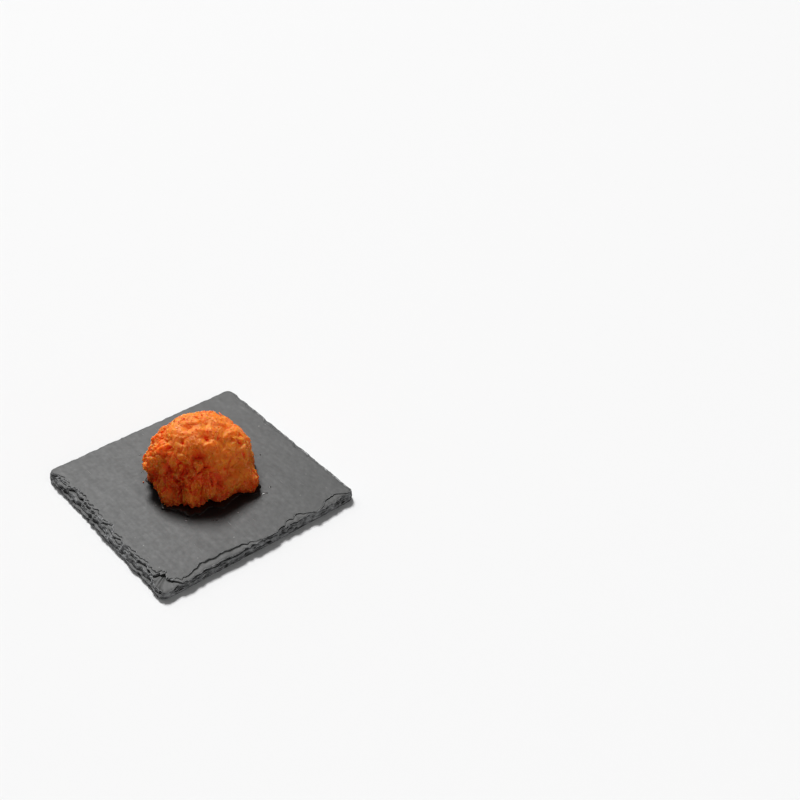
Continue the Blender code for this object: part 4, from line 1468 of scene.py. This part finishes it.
class MENTAIKO_OT_liquor(bpy.types.Operator):
    """Add the film and drops of seasoning liquor round the mound's foot; the near-black film is also painted
    shadow
    """

    bl_idname = "mentaiko.liquor"
    bl_label = "Seasoning liquor"

    def execute(self, context):
        settings = context.scene.mentaiko_liquor
        piece = start_primitive(
            bpy.ops.mesh.primitive_circle_add, "liquor_film_and_painted_shadow",
            vertices=FILM_POINTS, radius=1.0, fill_type="NOTHING",
        )
        for inset in FILM_RINGS:
            bpy.ops.mesh.extrude_region_move()
            now = inset / (inset + 0.1)
            bpy.ops.transform.resize(value=(now, now, 1))
        bpy.ops.mesh.extrude_region_move()
        bpy.ops.mesh.merge(type="CENTER")
        bpy.ops.object.mode_set(mode="OBJECT")

        raw = points_of(piece.data)
        level = np.hypot(raw[:, 0], raw[:, 1])
        azimuths = np.degrees(np.arctan2(raw[:, 1], raw[:, 0]))
        foot, _ = mound_surface(unit_vectors(azimuths, np.full(len(raw), 1.0)))
        middle = np.array([*MOUND_CENTRE])
        reach = np.linalg.norm(foot[:, :2] - middle, axis=1)
        pool = np.zeros(len(raw))
        for azimuth, half_width, share in LIQUOR_AND_SHADOW_POOLS:
            away = np.abs((azimuths - azimuth + 180) % 360 - 180)
            pool = np.maximum(pool, share * np.clip(1 - (away / half_width) ** 2, 0.0, None) ** 0.5)
        ring = unit_vectors(azimuths, np.zeros(len(raw)))
        waver = 1 + FILM_WAVER * rough_noise(ring, *FILM_NOISE)
        extent = reach + (FILM_LEAST + settings.spread * pool) * waver
        share = np.clip((level - 0.5) / 0.5, 0.0, 1.0)
        inner = reach - FILM_TUCK
        out = np.where(level > 0.49, inner + (extent - inner) * share**FILM_RUN, inner * level / 0.5)
        height = PLATE_THICKNESS - FILM_SINK + settings.depth * (1 - share**FILM_SLOPE)
        spots = middle + ring[:, :2] * out[:, None]
        place_points(piece.data, np.column_stack([spots, height]))
        wall = piece.modifiers.new("wall", "SOLIDIFY")
        wall.thickness = FILM_WALL
        wall.offset = 1.0 if piece.data.polygons[0].normal.z < 0 else -1.0
        bpy.ops.object.modifier_apply(modifier=wall.name)
        bpy.ops.object.mode_set(mode="EDIT")
        close_outwards(piece)
        sheet = self.material(settings)
        finish_piece(piece, sheet)

        template = grain_template("drip")
        count = len(DRIPS)
        spots = np.array([drip[:2] for drip in DRIPS])
        turns = np.radians([drip[4] for drip in DRIPS])
        frames = np.zeros((count, 3, 3))
        frames[:, 0, 0], frames[:, 0, 1] = np.cos(turns), np.sin(turns)
        frames[:, 1, 0], frames[:, 1, 1] = -np.sin(turns), np.cos(turns)
        frames[:, 2, 2] = 1.0
        sizes = np.array([(drip[2] * DRIP_FLARE[0], drip[3] * DRIP_FLARE[1], DRIP_HEIGHT) for drip in DRIPS])
        top_relief = context.scene.mentaiko_slate.top_relief
        relief = top_relief_at(np.column_stack([spots, np.zeros(count)]), top_relief)
        middles = np.column_stack([spots, PLATE_THICKNESS + relief])
        piece = joined_copies(
            "liquor_drops", [template.data], np.zeros(count, int), frames, sizes, middles, np.zeros(count)
        )
        finish_piece(piece, sheet)
        drop(template)
        return {"FINISHED"}

    def material(self, settings):
        """Thin dark liquor with a mirror-like wet surface; its near-black colour on the film is also painted
        shadow.
        """
        sheet = MaterialSheet(
            "seasoning liquor", Metallic=0.0, IOR=1.36, Coat_Weight=0.2, Coat_Roughness=0.04
        )
        clouds = sheet.noise(3.0, 3.0)
        sheet.feed("Base Color", sheet.shade((*settings.colour, 1.0), 0.5 + clouds))
        sheet.feed("Roughness", 0.30 + clouds * 0.12)
        sheet.bump(clouds, 0.10 * MM, 0.4)
        return sheet


def sky_place(azimuth, elevation):
    """The way to a place in the sky, from angles in radians."""
    level = math.cos(elevation)
    return (math.cos(azimuth) * level, math.sin(azimuth) * level, math.sin(elevation))


class MENTAIKO_OT_stage(bpy.types.Operator):
    """Add the pale floor, the soft light and the camera"""

    bl_idname = "mentaiko.stage"
    bl_label = "Floor, light and camera"

    def execute(self, context):
        settings = context.scene.mentaiko_stage
        scene = context.scene
        scene.view_settings.view_transform = "Standard"
        scene.view_settings.look = "Medium High Contrast"

        floor = start_primitive(bpy.ops.mesh.primitive_plane_add, "floor", size=FLOOR_SIDE)
        bpy.ops.mesh.subdivide(number_cuts=3)
        bpy.ops.object.mode_set(mode="OBJECT")
        sheet = MaterialSheet("pale floor", Metallic=0.0, Roughness=0.9)
        sheet.surface.inputs["Base Color"].default_value = (*settings.floor_colour, 1.0)
        floor.data.materials.append(sheet.material)

        bpy.ops.object.light_add(type="SUN")
        key = context.object
        key.name = "key_light"
        key.data.energy = settings.key_strength
        key.data.angle = settings.key_softness
        towards = Vector(sky_place(settings.key_azimuth, settings.key_elevation))
        key.rotation_euler = towards.to_track_quat("Z", "Y").to_euler()

        scene.world = self.world(settings)

        place, target = Vector(CAMERA_PLACE), Vector(CAMERA_TARGET)
        aim = (target - place).to_track_quat("-Z", "Y").to_euler()
        bpy.ops.object.camera_add(location=place, rotation=aim)
        camera = context.object
        camera.name = "photo_camera"
        camera.data.lens = settings.lens
        camera.data.sensor_width = SENSOR_WIDTH
        camera.data.dof.use_dof = False
        camera.data.clip_start = CLIP_START
        scene.camera = camera
        return {"FINISHED"}

    def lobe(self, sheet, azimuth, elevation, sharpness):
        """A soft patch of the sky: 1 at its middle and 0 from a right angle away."""
        inputs = {0: sheet.node("ShaderNodeTexCoord"), 1: sky_place(azimuth, elevation)}
        facing = sheet.node("ShaderNodeVectorMath", {"operation": "DOT_PRODUCT"}, inputs, 1)
        return facing.larger(0.0) ** sharpness

    def world(self, settings):
        """Soft light from all round, with a wide glow behind the key and a low one opposite it."""
        world = bpy.data.worlds.new("soft studio")
        world.use_nodes = True
        sheet = NodeSheet(world.node_tree)
        glow = self.lobe(sheet, settings.glow_azimuth, settings.glow_elevation, GLOW_SHARPNESS)
        front = self.lobe(sheet, settings.front_azimuth, settings.front_elevation, FRONT_SHARPNESS)
        strength = settings.fill_strength + settings.glow_strength * glow + settings.front_strength * front
        background = sheet.tree.nodes["Background"]
        background.inputs["Color"].default_value = (1.0, 1.0, 1.0, 1.0)
        sheet.tree.links.new(strength.socket, background.inputs["Strength"])
        return world


class MENTAIKO_PT_panel(bpy.types.Panel):
    """The mentaiko's settings and the buttons that build its pieces."""

    bl_label = "Mentaiko on slate"
    bl_idname = "MENTAIKO_PT_panel"
    bl_space_type = "VIEW_3D"
    bl_region_type = "UI"
    bl_category = "Mentaiko"

    def draw(self, context):
        layout = self.layout
        for name in SETTINGS:
            settings = getattr(context.scene, name)
            box = layout.box()
            for key in settings.__annotations__:
                box.prop(settings, key)
        for operator in OPERATORS:
            layout.operator(operator.bl_idname)


SETTINGS = {
    "mentaiko_slate": MentaikoSlateSettings,
    "mentaiko_roe": MentaikoRoeSettings,
    "mentaiko_liquor": MentaikoLiquorSettings,
    "mentaiko_stage": MentaikoStageSettings,
}
OPERATORS = (
    MENTAIKO_OT_slate,
    MENTAIKO_OT_mound,
    MENTAIKO_OT_grains,
    MENTAIKO_OT_shreds,
    MENTAIKO_OT_crumbs,
    MENTAIKO_OT_liquor,
    MENTAIKO_OT_stage,
)


def register():
    for name, group in SETTINGS.items():
        bpy.utils.register_class(group)
        setattr(bpy.types.Scene, name, bpy.props.PointerProperty(type=group))
    for kind in (*OPERATORS, MENTAIKO_PT_panel):
        bpy.utils.register_class(kind)


def unregister():
    for kind in reversed((*OPERATORS, MENTAIKO_PT_panel)):
        bpy.utils.unregister_class(kind)
    for name, group in SETTINGS.items():
        delattr(bpy.types.Scene, name)
        bpy.utils.unregister_class(group)


def main():
    """Build everything in order."""
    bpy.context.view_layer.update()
    register()
    bpy.ops.mentaiko.slate()
    bpy.ops.mentaiko.mound()
    bpy.ops.mentaiko.grains()
    bpy.ops.mentaiko.shreds()
    bpy.ops.mentaiko.crumbs()
    bpy.ops.mentaiko.liquor()
    bpy.ops.mentaiko.stage()


if __name__ == "__main__":
    main()
